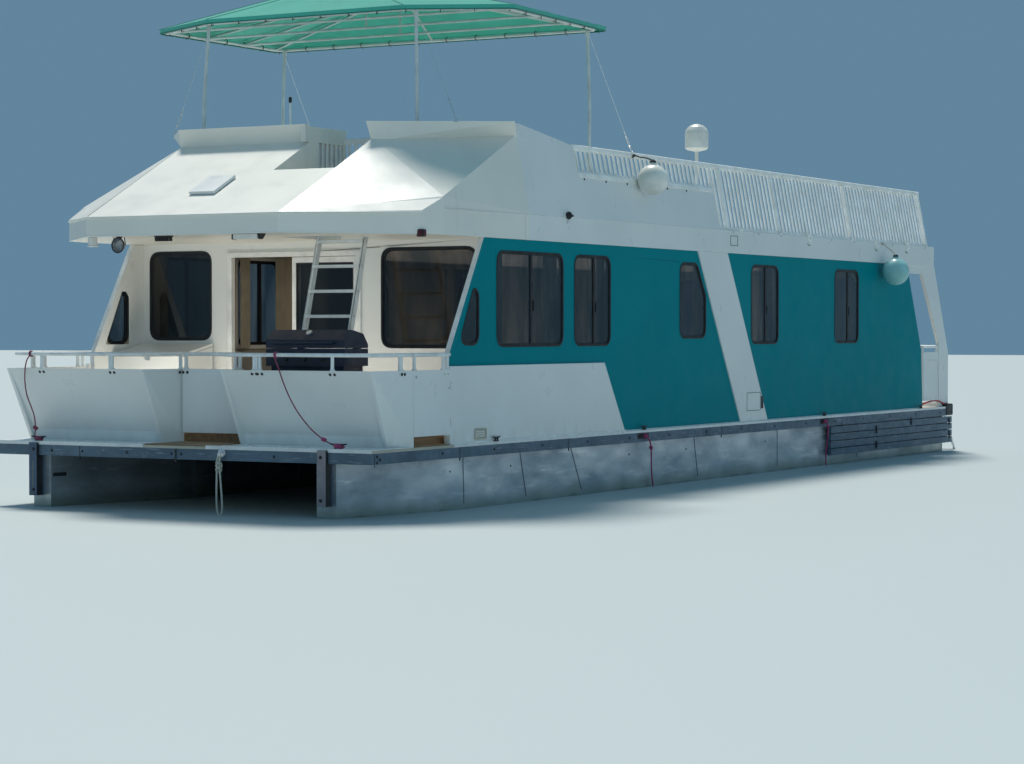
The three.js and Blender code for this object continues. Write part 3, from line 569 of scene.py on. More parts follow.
# Mooring lines: radius, finish, CAD node, slot, and the route from where each is made fast.
LINES = [
    ("rope_bow_port", 0.007, "maroon", "line_bow_port", "maroon_rope", [
        (1.193, 0.108, 0.924), (1.217, 0.104, 0.878), (1.249, 0.100, 0.815), (1.312, 0.098, 0.664),
        (1.395, 0.098, 0.504), (1.494, 0.100, 0.360), (1.616, 0.100, 0.230), (1.705, 0.098, 0.158),
        (1.802, 0.092, 0.100), (1.888, 0.086, 0.061), (1.969, 0.082, 0.037), (2.049, 0.080, 0.031)]),
    ("rope_bow_starboard", 0.007, "maroon", "line_bow_starboard", "maroon_rope", [
        (-2.025, 0.108, 0.924), (-2.057, 0.104, 0.880), (-2.076, 0.100, 0.808), (-2.082, 0.098, 0.721),
        (-2.079, 0.098, 0.629), (-2.057, 0.100, 0.503), (-1.999, 0.100, 0.378), (-1.954, 0.100, 0.271),
        (-1.938, 0.100, 0.146), (-1.941, 0.094, 0.065), (-1.916, 0.088, 0.024), (-1.845, 0.084, 0.024)]),
    ("rope_ring", 0.010, "pale_rope", "line_ring", "pale_rope", [
        (0.600, -0.052, -0.092), (0.596, -0.062, -0.150), (0.592, -0.062, -0.240), (0.588, -0.060, -0.340),
        (0.584, -0.058, -0.440), (0.584, -0.058, -0.540), (0.588, -0.058, -0.620), (0.600, -0.058, -0.680),
        (0.622, -0.058, -0.708), (0.644, -0.058, -0.680), (0.654, -0.058, -0.620), (0.652, -0.058, -0.540),
        (0.644, -0.058, -0.440), (0.636, -0.060, -0.340), (0.630, -0.062, -0.240), (0.626, -0.062, -0.150),
        (0.624, -0.052, -0.092)]),
    ("rope_side_fore", 0.009, "magenta", "line_side_fore", "maroon_rope", [
        (2.462, 6.070, -0.060), (2.474, 6.100, -0.084), (2.478, 6.140, -0.120), (2.474, 6.180, -0.170),
        (2.466, 6.215, -0.240), (2.450, 6.250, -0.320), (2.430, 6.290, -0.400), (2.412, 6.330, -0.480),
        (2.398, 6.370, -0.560), (2.390, 6.405, -0.640), (2.386, 6.430, -0.720), (2.384, 6.445, -0.790)]),
    ("rope_side_aft", 0.009, "magenta", "line_side_aft", "maroon_rope", [
        (2.462, 11.730, -0.060), (2.474, 11.750, -0.084), (2.478, 11.775, -0.120), (2.474, 11.800, -0.180),
        (2.462, 11.825, -0.250), (2.446, 11.850, -0.330), (2.428, 11.875, -0.410), (2.410, 11.895, -0.490),
        (2.396, 11.915, -0.570), (2.388, 11.935, -0.650), (2.386, 11.950, -0.720), (2.384, 11.960, -0.790)]),
]


def add_knot(shape, place, rope, step, size):
    """Three rings of rope, each turned from the last by a step in degrees."""
    for k in range(3):
        turn = Quaternion((0.3, 1, 0.2 * k), math.radians(step * k))
        shape.hoop(place, turn @ Vector((size[0], 0, 0)), turn @ Vector((0, 0, size[1])), rope)


def make_ropes():
    for name, radius, finish, node, slot, route in LINES:
        path = smooth_route([at(*p) for p in route])
        rope = make(name, Shape().tube(path, radius, 12), finish)
        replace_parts(rope, node)
        far = "object" if name == "rope_ring" else "knot"
        if far == "knot":
            knot = Shape()
            add_knot(knot, path[-1], radius * 0.95, 62, (radius * 1.5, radius * 1.5))
            make(name + "_knot", knot, finish)


make_ropes()


# Cabin windows as outlines in the plane of their wall, with the mullion's place where there is one.
SILL = 1.015
HEAD = 2.075


def rect(y, z):
    return [(y[0], z[0]), (y[1], z[0]), (y[1], z[1]), (y[0], z[1])]


SIDE_WINDOWS = [
    ("quarter", [(1.775, 1.035), (2.225, 1.035), (2.225, 1.59), (2.17, 1.655), (2.087, 1.655)], None),
    ("one", rect((2.588, 4.13), (SILL, HEAD)), 3.38),
    ("two", rect((4.38, 5.305), (SILL, HEAD)), 4.885),
    ("three", [(7.172, 1.095), (7.955, 1.095), (7.955, 1.64), (7.69, 2.055), (7.172, 2.055)], None),
    ("four", rect((9.352, 10.268), (SILL, HEAD)), 9.83),
    ("five", rect((12.252, 13.185), (SILL, HEAD)), 12.77),
]
BULKHEAD_WINDOWS = [
    ("starboard", rect((-2.24, -1.34), (1.08, 2.12)), None),
    ("port", rect((0.96, 2.20), (1.00, 2.12)), None),
]
AFT_WINDOWS = [
    ("starboard", rect((-1.80, -0.90), (1.0, 2.0)), -1.35),
    ("port", rect((0.90, 1.80), (1.0, 2.0)), 1.35),
]


def offset(outline, by):
    """The outline moved outwards by a distance, for outlines that turn anticlockwise."""
    out = []
    n = len(outline)
    for i, p in enumerate(outline):
        a = Vector(outline[i - 1])
        b = Vector(p)
        c = Vector(outline[(i + 1) % n])
        u = (b - a).normalized()
        v = (c - b).normalized()
        nu = Vector((u.y, -u.x))
        nv = Vector((v.y, -v.x))
        k = by / max(0.2, 1 + nu.dot(nv))
        out.append(b + (nu + nv) * k)
    return out


def rounded(outline, radius, steps=6):
    out = []
    n = len(outline)
    for i, p in enumerate(outline):
        b = Vector(p)
        u = Vector(outline[i - 1]) - b
        v = Vector(outline[(i + 1) % n]) - b
        angle = u.angle(v) / 2
        reach = min(radius / math.tan(angle), u.length * 0.45, v.length * 0.45)
        a = b + u.normalized() * reach
        c = b + v.normalized() * reach
        for k in range(steps + 1):
            t = k / steps
            out.append(a * (1 - t) ** 2 + b * 2 * t * (1 - t) + c * t * t)
    return out


class Plane:
    """Turns (u, v, depth) into the frame: depth runs outwards from a wall."""

    def __init__(self, kind, face, out):
        self.kind = kind
        self.face = face
        self.out = out

    def point(self, u, v, depth):
        if self.kind == "side":
            return at(self.face + self.out * depth, u, v)
        return at(u, self.face + self.out * depth, v)

    def ring(self, shape, outline, grow, radius, depths):
        """A picture-frame moulding: grow and radius for the outer and inner outlines, depths out and in."""
        outer, inner = (rounded(offset(outline, g), r) for g, r in zip(grow, radius))
        front, back = depths
        corners = ((outer, back), (outer, front), (inner, front), (inner, back))
        return shape.loft([[self.point(p.x, p.y, d) for p in line] for line, d in corners], closed=True)

    def plate(self, shape, outline, radius, depths):
        line = rounded(outline, radius) if radius else [Vector(p) for p in outline]
        rings = [[self.point(p.x, p.y, d) for p in line] for d in depths]
        return shape.loft(rings)

    def bar(self, shape, u, v, depths):
        return shape.hull([self.point(a, b, d) for a in u for b in v for d in depths])


FORE = Plane("cross", BULKHEAD, -1)
AFT = Plane("cross", AFT_WALL + WALL_THICK, 1)


def window(name, plane, outline, mullion):
    corners = plane.ring(Shape(), outline, (0.008, -0.006), (0.002, 0.150), (0.002, -0.030))
    make("window_corners_" + name, corners, "teal" if plane.kind == "side" else "white")
    trim = plane.ring(Shape(), outline, (-0.002, -0.030), (0.145, 0.120), (0.006, -0.052))
    plane.ring(trim, outline, (-0.008, -0.042), (0.135, 0.110), (-0.004, -0.040))
    if mullion is not None:
        z = [p[1] for p in outline]
        plane.bar(trim, (mullion - 0.024, mullion + 0.024), (min(z) + 0.01, max(z) - 0.01), (0.001, -0.038))
        plane.bar(trim, (mullion + 0.040, mullion + 0.052), (min(z) + 0.40, min(z) + 0.52), (0.006, -0.02))
    make("window_frame_" + name, trim, "frame", bevel=0.003)
    pane = plane.plate(Shape(), offset(outline, -0.034), 0.115, (-0.014, -0.008))
    make("window_glass_" + name, pane, "glass")
    inside = plane.ring(Shape(), outline, (0.045, -0.004), (0.05, 0.02), (-0.052, -0.060))
    make("window_lining_" + name, inside, "white", bevel=0.002)


def make_windows():
    for side, sign in HANDS:
        plane = Plane("side", sign * WALL_OUT, sign)
        for name, outline, mullion in SIDE_WINDOWS:
            window(f"{name}_{side}", plane, outline, mullion)
    for end, plane, windows in (("fore_", FORE, BULKHEAD_WINDOWS), ("aft_", AFT, AFT_WINDOWS)):
        for name, outline, mullion in windows:
            window(end + name, plane, outline, mullion)


make_windows()


# Sliding door: white jambs and leaves, and a hinged door aft.
DOOR_TOP = 2.035
FORE_DOOR = (-1.055, 0.652)
AFT_PANE = rect((-0.27, 0.27), (1.08, 1.86))
DOOR_KNOB = [(0, 0), (0.026, 0), (0.026, 0.006), (0.010, 0.010), (0.010, 0.030), (0.024, 0.036),
             (0.027, 0.050), (0.020, 0.060), (0, 0.062)]


def make_doorway():
    """Jambs and tracks round the front door's two leaves."""
    a, b = FORE_DOOR
    jamb = Shape()
    for u in ((a - 0.055, a + 0.004), (b - 0.004, b + 0.055)):
        FORE.bar(jamb, u, (0.002, DOOR_TOP + 0.055), (0.022, -0.004))
    FORE.bar(jamb, (a - 0.055, b + 0.055), (DOOR_TOP - 0.002, DOOR_TOP + 0.055), (0.026, -0.004))
    make("door_jamb", jamb, "rail", bevel=0.004)
    rails = FORE.bar(Shape(), (a, b), (0.002, 0.010), (0.004, -0.10))
    FORE.bar(rails, (a + 0.01, b - 0.01), (0.010, 0.018), (-0.030, -0.036))
    make("door_track", rails, "dull", bevel=0.001)


def make_door_leaf(name, body, left, right, front, back):
    glass = Shape()
    middle = (front + back) / 2
    for v in ((0.095, 0.965), (1.025, 1.962)):
        FORE.bar(glass, (left + 0.05, right - 0.05), v, (middle + 0.003, middle - 0.003))
    make("door_glass_" + name, glass, "glass", body)
    trim = Shape()
    for v in ((0.102, 0.960), (1.030, 1.957)):
        pane = rect((left + 0.06, right - 0.06), v)
        FORE.ring(trim, pane, (0.006, -0.012), (0.012, 0.012), (front + 0.002, back - 0.002))
    make("door_gasket_" + name, trim, "black", body, 0.001)


def make_door_pull():
    u = FORE_DOOR[1] - 0.850 + 0.03
    pull = FORE.bar(Shape(), (u - 0.012, u + 0.012), (0.93, 1.13), (-0.040, -0.060))
    make("door_pull", pull, "steel", "front_door_slide", 0.004)


def make_aft_door():
    light = AFT.bar(Shape(), (-0.27, 0.27), (1.08, 1.86), (0.004, -0.002))
    make("aft_door_light", light, "glass", "aft_door", 0.01)
    ring = AFT.ring(Shape(), AFT_PANE, (0.03, -0.01), (0.03, 0.02), (0.010, -0.001))
    AFT.ring(ring, rect((-0.29, 0.29), (0.16, 0.92)), (0.012, -0.012), (0.02, 0.02), (0.004, -0.001))
    make("aft_door_mouldings", ring, "white", "aft_door", 0.003)
    knob = Shape().lathe(DOOR_KNOB, AFT.point(0.33, 1.0, 0.0), (0, 1, 0), 28)
    make("aft_door_knob", knob, "steel", "aft_door")
    butts = Shape()
    for z in (0.25, 1.0, 1.80):
        butts.rod(AFT.point(-0.392, z - 0.05, 0.004), AFT.point(-0.392, z + 0.05, 0.004), 0.008, 14)
    make("aft_door_hinges", butts, "steel")


make_doorway()
make_door_leaf("fixed", "hull", FORE_DOOR[1] - 0.880, FORE_DOOR[1], -0.002, -0.022)
make_door_leaf("slide", "front_door_slide", FORE_DOOR[1] - 0.850, FORE_DOOR[1] - 0.008, -0.060, -0.084)
make_door_pull()
make_aft_door()


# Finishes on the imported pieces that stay, with their edges softened.
def dress(nodes, finish, bevel=0.004):
    for name in nodes:
        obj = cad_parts[name]
        obj.data.materials.clear()
        obj.data.materials.append(M[finish])
        if bevel:
            flat = obj.modifiers.new("flat", "DECIMATE")
            flat.decimate_type = "DISSOLVE"
            flat.angle_limit = math.radians(1.0)
            edge = obj.modifiers.new("edge", "BEVEL")
            edge.width = bevel
            edge.segments = 2
            edge.limit_method = "ANGLE"
            edge.angle_limit = math.radians(32)


def both(name):
    return [name + "_port", name + "_starboard"]


DRESS = [
    ("hull", both("pontoon") + ["engine_pod"], 0.012),
    ("beam", ["deck_frame", *both("side_planking")], 0.005),
    ("deck", ["deck"], 0.0),
    ("teal", both("cabin_side_aft") + both("cabin_side_fore"), 0.003),
    ("white", ["cabin_front", "cabin_aft", *both("porch_side"), "aft_door", "bow_locker", "bow_locker_lid",
               "helm_console", *both("gate_bow_side"), "gate_bow", *both("gate_stern_side")], 0.006),
    ("white", ["roof_deck", *both("flybridge_side"), "vent_lid"], 0.008),
    ("roof", ["flybridge_front"], 0.014),
    ("white", both("bulwark"), 0.005),
    ("roof_rail", both("roof_rail"), 0.003),
    ("rail", ["front_door_fixed", "front_door_slide", "ladder", "stern_rail", "gate_stern"], 0.003),
    ("pipe", ["canopy_frame"], 0.0),
    ("navy", ["grill", "grill_lid"], 0.006),
    ("black", ["helm_wheel", *both("drive_gimbal"), *both("drive_leg")], 0.006),
    ("dull", ["swim_ladder"], 0.003),
    ("prop", both("propeller"), 0.002),
    ("canvas", ["canopy_fabric"], 0.0),
    ("ball_white", ["antenna_dome", *both("fender_fore")], 0.0),
    ("ball_aqua", both("fender_aft"), 0.0),
]
for finish, names, width in DRESS:
    dress(names, finish, width)


# White mouldings that lie over the teal sides: the low fore skin, the slanting band and the wing's edge.
LOW_SKIN = [(1.542, 0.0), (5.606, 0.0), (5.073, 0.825), (1.542, 0.825)]
BAND = [(9.001, 0.0), (9.874, 0.0), (8.578, 2.2), (7.693, 2.2)]
WING_EDGE = [(1.583, 0.0), (1.589, 0.0), (1.589, 0.946), (2.321, 2.2), (2.313, 2.2), (1.583, 0.950)]
WING = [(1.587, 0.0), (2.498, 0.0), (2.498, 2.195), (2.316, 2.195), (1.587, 0.948)]


def pierced_plate(shape, plane, outline, hole, depths):
    """A plate with one opening, filled between its two outlines."""
    bm = bmesh.new()
    for loop in (outline, hole):
        verts = [bm.verts.new((p[0], p[1], 0)) for p in loop]
        for a, b in zip(verts, verts[1:] + verts[:1]):
            bm.edges.new((a, b))
    bmesh.ops.triangle_fill(bm, use_beauty=True, edges=bm.edges)
    made = bmesh.ops.extrude_face_region(bm, geom=bm.faces[:])
    for item in made["geom"]:
        if isinstance(item, bmesh.types.BMVert):
            item.co.z = 1.0
    bm.verts.index_update()
    points = [plane.point(v.co.x, v.co.y, depths[1] if v.co.z else depths[0]) for v in bm.verts]
    shape.add(points, [[v.index for v in f.verts] for f in bm.faces])
    bm.free()
    return shape


def make_overlays():
    for side, sign in HANDS:
        plane = Plane("side", sign * WALL_OUT, sign)
        skin = plane.plate(Shape(), LOW_SKIN, 0, (-0.008, 0.043))
        make("low_skin_" + side, skin, "white", bevel=0.006, segments=3)
        lip = plane.bar(Shape(), (1.55, 5.62), (0.001, 0.022), (0.040, 0.052))
        plane.bar(lip, (5.62, 9.01), (0.001, 0.014), (0.000, 0.020))
        plane.bar(lip, (9.88, 15.80), (0.001, 0.014), (0.000, 0.020))
        make("skin_lip_" + side, lip, "rail", bevel=0.003)
        band = plane.plate(Shape(), BAND, 0, (-0.008, 0.019))
        make("slanting_band_" + side, band, "white", bevel=0.005, segments=3)
        make("wing_edge_" + side, plane.plate(Shape(), WING_EDGE, 0, (-0.055, 0.003)), "rail", bevel=0.001)
        lining = Shape()
        hole = [tuple(p) for p in rounded(SIDE_WINDOWS[0][1], 0.04)]
        pierced_plate(lining, plane, WING, hole, (-0.0495, -0.056))
        make("wing_lining_" + side, lining, "white", bevel=0.0)
        hatch = rect((9.19, 9.62), (0.145, 0.380))
        cover = plane.ring(Shape(), hatch, (0.004, -0.004), (0.018, 0.018), (0.0225, 0.0175))
        make("side_cover_" + side, cover, "seam", bevel=0.001)
        strip = plane.bar(Shape(), (9.645, 9.705), (0.165, 0.330), (0.018, 0.028))
        make("side_strip_" + side, strip, "black", bevel=0.003)


make_overlays()


# Awning: one sheet stretched over a pipe frame, with rafters up to a short ridge.
HEM_Z = 4.76
RIDGE_Z = 5.26
RIDGE_RUN = (3.40, 4.50)
AWNING = [(1.33, 2.38), (2.42, 2.92), (2.35, 5.29), (-2.35, 5.29), (-2.42, 2.92), (-1.33, 2.38)]
PIPE_Z = HEM_Z - 0.034
RIDGE_PIPE_Z = RIDGE_Z - 0.05
PIPE_LINE = offset(AWNING, -0.10)
PURLINS = (2.96, 3.70, 4.45)
RAFTERS = ((2.99, 3.75), (3.70, 4.12), (4.45, 4.40), (5.10, 4.48))
POSTS = [
    ((1.44, 2.49, 2.504), (1.44, 2.49, 3.90), (1.398, 2.535, PIPE_Z)),
    ((2.17, 5.15, 2.504), (2.18, 5.15, 3.90), (2.150, 5.150, PIPE_Z - 0.02)),
]


def divided(outline, step):
    out = []
    for a, b in zip(outline, outline[1:] + outline[:1]):
        count = max(1, round((b - a).length / step))
        out += [a.lerp(b, i / count) for i in range(count)]
    return out


def awning_point(p, t):
    """A place on the sheet: p on the hem, t from the hem to the ridge. The cloth sags between rafters."""
    near = min(abs(p.y - y) for y, _ in RAFTERS) if abs(p.x) > 2.2 else abs((p.x + 0.45) % 0.9 - 0.45)
    slack = 0.022 * math.sin(math.pi * t) * min(1.0, near / 0.3)
    y = p.y + (min(max(p.y, RIDGE_RUN[0]), RIDGE_RUN[1]) - p.y) * t
    crown = 0.010 * math.sin(math.pi * t)
    return at(p.x * (1 - t), y, HEM_Z + (RIDGE_Z - HEM_Z) * t + crown - slack)


# Stitched seams along the rafters and up the corners, in the dark hem cloth, which along the rafters also
# paints shade streaks.
def awning_seams():
    seams = Shape()
    for y, _ in RAFTERS:
        for sign in SIGNS:
            for stitch in (0.0, 0.03):
                start = Vector((sign * (2.42 - 0.0295 * (y - 2.92)), y + stitch))
                seams.tube([awning_point(start, i / 24) + UP * 0.0025 for i in range(24)], 0.0022, 6)
    for corner in AWNING:
        start = Vector(corner) * 0.998
        seams.tube([awning_point(start, i / 24) + UP * 0.003 for i in range(24)], 0.0028, 6)
    return seams


def painted_rafter_shadows():
    """Dark strips of hem cloth under the sheet, just aft of each rafter: painted shadows of the rafters on
    the cloth.
    """
    rafter_shadows = Shape()
    for y, ridge_y in RAFTERS:
        for sign in SIGNS:
            for k in range(22):
                ends = [rafter_point(sign, y, ridge_y, (k + e) / 22) for e in (0.0, 1.02)]
                rafter_shadows.hull([p + Vector((0, side, lift)) for p in ends for side in (0.034, 0.0068)
                              for lift in (0.024, 0.0216)])
    return rafter_shadows


def make_awning_cloth():
    line = divided(rounded(AWNING, 0.10, 4), 0.11)
    rings = [[at(p.x * k, p.y + (k - 1) * (p.y - 3.9), HEM_Z - drop) for p in line]
             for k, drop in ((0.999, 0.046), (1.001, 0.030), (1.001, 0.010))]
    rings += [[awning_point(p, i / 16) for p in line] for i in range(17)]
    obj = make("awning_cloth", Shape().loft(rings, capped=False), "canvas")
    bm = bmesh.new()
    bm.from_mesh(obj.data)
    bmesh.ops.remove_doubles(bm, verts=bm.verts, dist=1e-4)
    bmesh.ops.recalc_face_normals(bm, faces=bm.faces)
    area = sum(f.calc_area() for f in bm.faces)
    bm.to_mesh(obj.data)
    bm.free()
    for face in obj.data.polygons:
        face.use_smooth = True
    thick = obj.modifiers.new("thickness", "SOLIDIFY")
    thick.thickness = 0.003
    thick.offset = 0.0
    hem = Shape().tube(rings[0], 0.0075, 10, closed=True)
    trims = (("hem", hem), ("seams", awning_seams()), ("rafter_shadows", painted_rafter_shadows()))
    pieces = [make("awning_" + name, shape, "hem") for name, shape in trims]
    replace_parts(obj, "canopy_fabric")


def side_pipe_x(y):
    (ax, ay), (bx, by) = PIPE_LINE[1], PIPE_LINE[2]
    return ax + (bx - ax) * (y - ay) / (by - ay)


def rafter_point(sign, y, ridge_y, t):
    foot = at(sign * side_pipe_x(y), y, PIPE_Z)
    return foot.lerp(at(sign * 0.01, ridge_y, RIDGE_PIPE_Z), t)


def make_awning_frame():
    loop = [at(p.x, p.y, PIPE_Z) for p in rounded(PIPE_LINE, 0.12, 6)]
    pipes = Shape().tube(loop, 0.019, 18, closed=True)
    for y in PURLINS:
        x = side_pipe_x(y)
        pipes.rod(at(-x, y, PIPE_Z), at(x, y, PIPE_Z), 0.0155, 18)
        for sign in SIGNS:
            pipes.rod(at(sign * (x - 0.07), y, PIPE_Z), at(sign * (x - 0.012), y, PIPE_Z), 0.0205, 18)
            pipes.rod(at(sign * x, y - 0.035, PIPE_Z), at(sign * x, y + 0.035, PIPE_Z), 0.0235, 18)
    pipes.rod(at(0, RIDGE_RUN[0], RIDGE_PIPE_Z), at(0, RIDGE_RUN[1] + 0.02, RIDGE_PIPE_Z), 0.0155, 18)
    for y, ridge_y in RAFTERS:
        for sign in SIGNS:
            pipes.rod(*(rafter_point(sign, y, ridge_y, t) for t in (0, 1)), 0.0125, 14)
    for y, top_y in ((3.70, 3.70), (4.45, 4.45), (5.19, 4.50)):
        pipes.rod(at(0, y, PIPE_Z), at(0, top_y, RIDGE_PIPE_Z), 0.0125, 14)
    for post in POSTS:
        for sign in SIGNS:
            pipes.tube(bent([at(sign * x, y, z) for x, y, z in post], 0.16), 0.0195, 18)
            x, y, z = post[2]
            pipes.upright(sign * x, y, (z - 0.05, z + 0.01), 0.027, 18)
    piece = make("awning_frame", pipes, "pipe")
    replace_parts(piece, "canopy_frame")


def make_awning_feet():
    feet = Shape()
    bolts = Shape()
    flange = [(0, 0), (0.062, 0), (0.062, 0.008), (0.030, 0.012), (0.026, 0.05), (0, 0.05)]
    head = [(0, 0), (0.009, 0), (0.009, 0.005), (0.004, 0.008), (0, 0.008)]
    for (x, y, z), _, _ in POSTS:
        for sign in SIGNS:
            foot = at(sign * x, y, z)
            feet.lathe(flange, foot, UP, 32)
            for u, v in ((1, 1), (-1, 1), (-1, -1), (1, -1)):
                bolts.lathe(head, foot + Vector((0.0325 * u, 0.0325 * v, 0.008)), UP, 8)
    make("awning_feet", feet, "rail")
    make("awning_bolts", bolts, "steel")


def make_awning_ties():
    """Loops that hold the sheet to the pipe, each with its loose end."""
    ties = Shape()
    ring = [at(p.x, p.y, PIPE_Z) for p in divided([Vector(p) for p in PIPE_LINE], 0.40)]
    for before, place, after in zip(ring[-1:] + ring[:-1], ring, ring[1:] + ring[:1]):
        out = (after - before).normalized().cross(UP).normalized()
        ties.hoop(place + UP * 0.004, out * 0.025, UP * 0.029, 0.0042, 8, 14)
        ties.tube([place + out * 0.02 - UP * 0.02, place + out * 0.03 - UP * 0.045], [0.004, 0.002], 8)
    make("awning_ties", ties, "black")


# Wire stays with turnbuckles, and the whip aerial behind the starboard post.
STAYS = [((1.90, 2.55, 3.50), (1.410, 2.55, 4.66)), ((2.235, 6.15, 3.345), (2.165, 5.17, 4.66))]


def make_stays():
    wire = Shape()
    fittings = Shape()
    for low, high in STAYS:
        for sign in SIGNS:
            a = at(sign * low[0], low[1], low[2])
            b = at(sign * high[0], high[1], high[2])
            d = (b - a).normalized()
            wire.rod(a + d * 0.30, b, 0.0022, 8)
            fittings.tube([a + d * s for s in (0.02, 0.06, 0.07, 0.10)], [0.004, 0.004, 0.010, 0.010], 14)
            side = d.orthogonal().normalized()
            for hand in (1, -1):
                fittings.rod(*(a + d * s + side * 0.008 * hand for s in (0.10, 0.21)), 0.0035, 10)
            fittings.tube([a + d * s for s in (0.21, 0.24, 0.25, 0.31)], [0.010, 0.010, 0.0045, 0.0045], 14)
            fittings.hoop(a, d * 0.014, side * 0.014, 0.0042, 10, 18)
            fittings.block(a - UP * 0.021, (0.04, 0.028, 0.018))
    make("stay_wires", wire, "steel")
    make("stay_turnbuckles", fittings, "steel")
    whip = Shape()
    foot = at(-2.19, 5.33, 2.62)
    whip.tube([foot + UP * h for h in (0.0, 0.20, 0.22, 1.48)], [0.020, 0.020, 0.0125, 0.011], 16)
    make("whip_aerial", whip, "rail")
    cap = [(0, 0), (0.013, 0), (0.021, 0.012), (0.021, 0.060), (0.013, 0.075), (0, 0.080)]
    make("whip_tip", Shape().lathe(cap, foot + UP * 1.46, UP, 24), "black")


make_awning_cloth()
make_awning_frame()
make_awning_feet()
make_awning_ties()
make_stays()


# Bow: round rails on flared posts, white flange, thresholds, cleats, beam joints and guide posts.
BULWARK_TOP = 0.79
LIP = 0.12
BASE = 0.48
PLINTH = 0.12
FLARE = (BASE - LIP) / (BULWARK_TOP - PLINTH)
BOLT_Z = 0.752
BOW_RAIL = [(0.382, 0.640), (0.535, 0.140), (2.232, 0.140), (2.360, 0.400), (2.400, 0.600), (2.420, 0.780)]
RAIL_R = 0.0205
SIDE_GATE = (0.795, 1.530)
GATE_HALF = 0.362
GATE_FACE = 0.628
SIDE_X = 2.420


def bolt(shape, place, facing, radius=0.010):
    shape.lathe(washer(radius * 1.6, 0.002), place, facing, 16)
    head = [(0, 0.002), (radius, 0.002), (radius, 0.007), (radius * 0.8, 0.009), (0, 0.009)]
    shape.lathe(head, place, facing, 6)


def rail_post(shape, x, y):
    tall = RAIL_Z - BULWARK_TOP
    run = [(-0.004, 0.032), (0.004, 0.032), (0.010, 0.023), (0.030, 0.0185), (tall - 0.03, 0.0175),
           (tall, 0.020)]
    shape.tube([at(x, y, BULWARK_TOP + h) for h, _ in run], [r for _, r in run], 16)


def pair_of_bolts(shape, place, along, facing):
    for shift in (-0.0275, 0.0275):
        bolt(shape, place + Vector(along) * shift, facing)


def front_face(x, z):
    return at(x, LIP + FLARE * (BULWARK_TOP - z) - 0.001, z)


def make_hinges(name, x, y):
    """Two hinge barrels on a bow gate's post."""
    barrels = Shape()
    for z in (0.24, 0.62):
        barrels.upright(x, y, (z - 0.045, z + 0.045), 0.0075, 12)
    make(name, barrels, "steel")


def make_bow_rail(side, sign):
    route = [at(sign * x, y, RAIL_Z) for x, y in BOW_RAIL]
    rail = Shape().tube(bent(route, 0.16, 7), RAIL_R, 18)
    bolts = Shape()
    for x in (0.92, 0.99, 1.88):
        if side == "starboard" and x == 0.99:
            continue
        rail_post(rail, sign * x, 0.140)
        pair_of_bolts(bolts, front_face(sign * x, BOLT_Z), (1, 0, 0), (0, -1, -FLARE))
    rail_post(rail, sign * 0.387, 0.635)
    pair_of_bolts(bolts, at(sign * 0.392, 0.615, BOLT_Z), (0.7 * sign, 0.6, 0), (-sign * 0.9, -0.3, 0))
    rail_post(rail, sign * 2.396, 0.620)
    pair_of_bolts(bolts, at(sign * 2.424, 0.620, BOLT_Z), (0, 1, 0), (sign, -0.1, -0.05))
    make("bow_rail_" + side, rail, "rail")
    make("bow_rail_bolts_" + side, bolts, "black")


def make_side_gate(side, sign):
    body = "gate_bow_side_" + side
    x = sign * SIDE_X
    fore, aft = SIDE_GATE
    gate = Shape().rod(at(x, fore + 0.006, RAIL_Z), at(x, aft - 0.006, RAIL_Z), RAIL_R, 18)
    for y in (fore + 0.040, aft - 0.040, aft - 0.125):
        rail_post(gate, x, y)
    make("side_gate_rail_" + side, gate, "rail", body)
    fixings = Shape()
    face = sign * 2.438
    bolt(fixings, at(face, fore + 0.05, 0.72), (sign, 0, 0))
    for y, z in ((aft - 0.05, 0.745), (aft - 0.12, 0.745), (aft - 0.04, 0.60)):
        bolt(fixings, at(face, y, z), (sign, 0, 0), 0.006)
    make("side_gate_bolts_" + side, fixings, "dull", body)
    make_hinges("side_gate_hinges_" + side, sign * 2.441, 1.532)
    stub = Shape().rod(at(sign * 2.406, 1.550, RAIL_Z), at(sign * 2.357, 1.628, RAIL_Z), RAIL_R, 18)
    make("wing_rail_stub_" + side, stub, "rail")


def make_bow_gate():
    y = GATE_FACE + 0.018
    gate = Shape().rod(at(-GATE_HALF + 0.006, y, RAIL_Z), at(GATE_HALF - 0.006, y, RAIL_Z), RAIL_R, 18)
    fixings = Shape()
    for x in (-GATE_HALF + 0.040, GATE_HALF - 0.040):
        rail_post(gate, x, y)
        pair_of_bolts(fixings, at(x, GATE_FACE - 0.001, BOLT_Z), (1, 0, 0), (0, -1, 0))
    make("bow_gate_rail", gate, "rail", "gate_bow")
    make("bow_gate_bolts", fixings, "black", "gate_bow")
    x = GATE_HALF - 0.07
    latch = Shape().box((x - 0.015, x + 0.060), (GATE_FACE + 0.036, GATE_FACE + 0.050), (0.55, 0.60))
    latch.rod(at(x, GATE_FACE + 0.050, 0.575), at(x, GATE_FACE + 0.085, 0.575), 0.008, 14)
    make("bow_gate_latch", latch, "steel", "gate_bow", 0.002)
    make_hinges("bow_gate_hinges", -GATE_HALF, GATE_FACE + 0.034)


def cleat(shape, centre, along, length=0.20):
    along = Vector(along).normalized()
    for hand in (-1, 1):
        foot = centre + along * hand * length * 0.16
        shape.tube([foot, foot + UP * 0.012, foot + UP * 0.036], [0.017, 0.010, 0.009], 14)
    run = [(-0.5, 0.050, 0.004), (-0.42, 0.047, 0.008), (-0.16, 0.038, 0.0115), (0.16, 0.038, 0.0115),
           (0.42, 0.047, 0.008), (0.5, 0.050, 0.004)]
    shape.tube([centre + along * length * t + UP * h for t, h, _ in run], [r for _, _, r in run], 14)


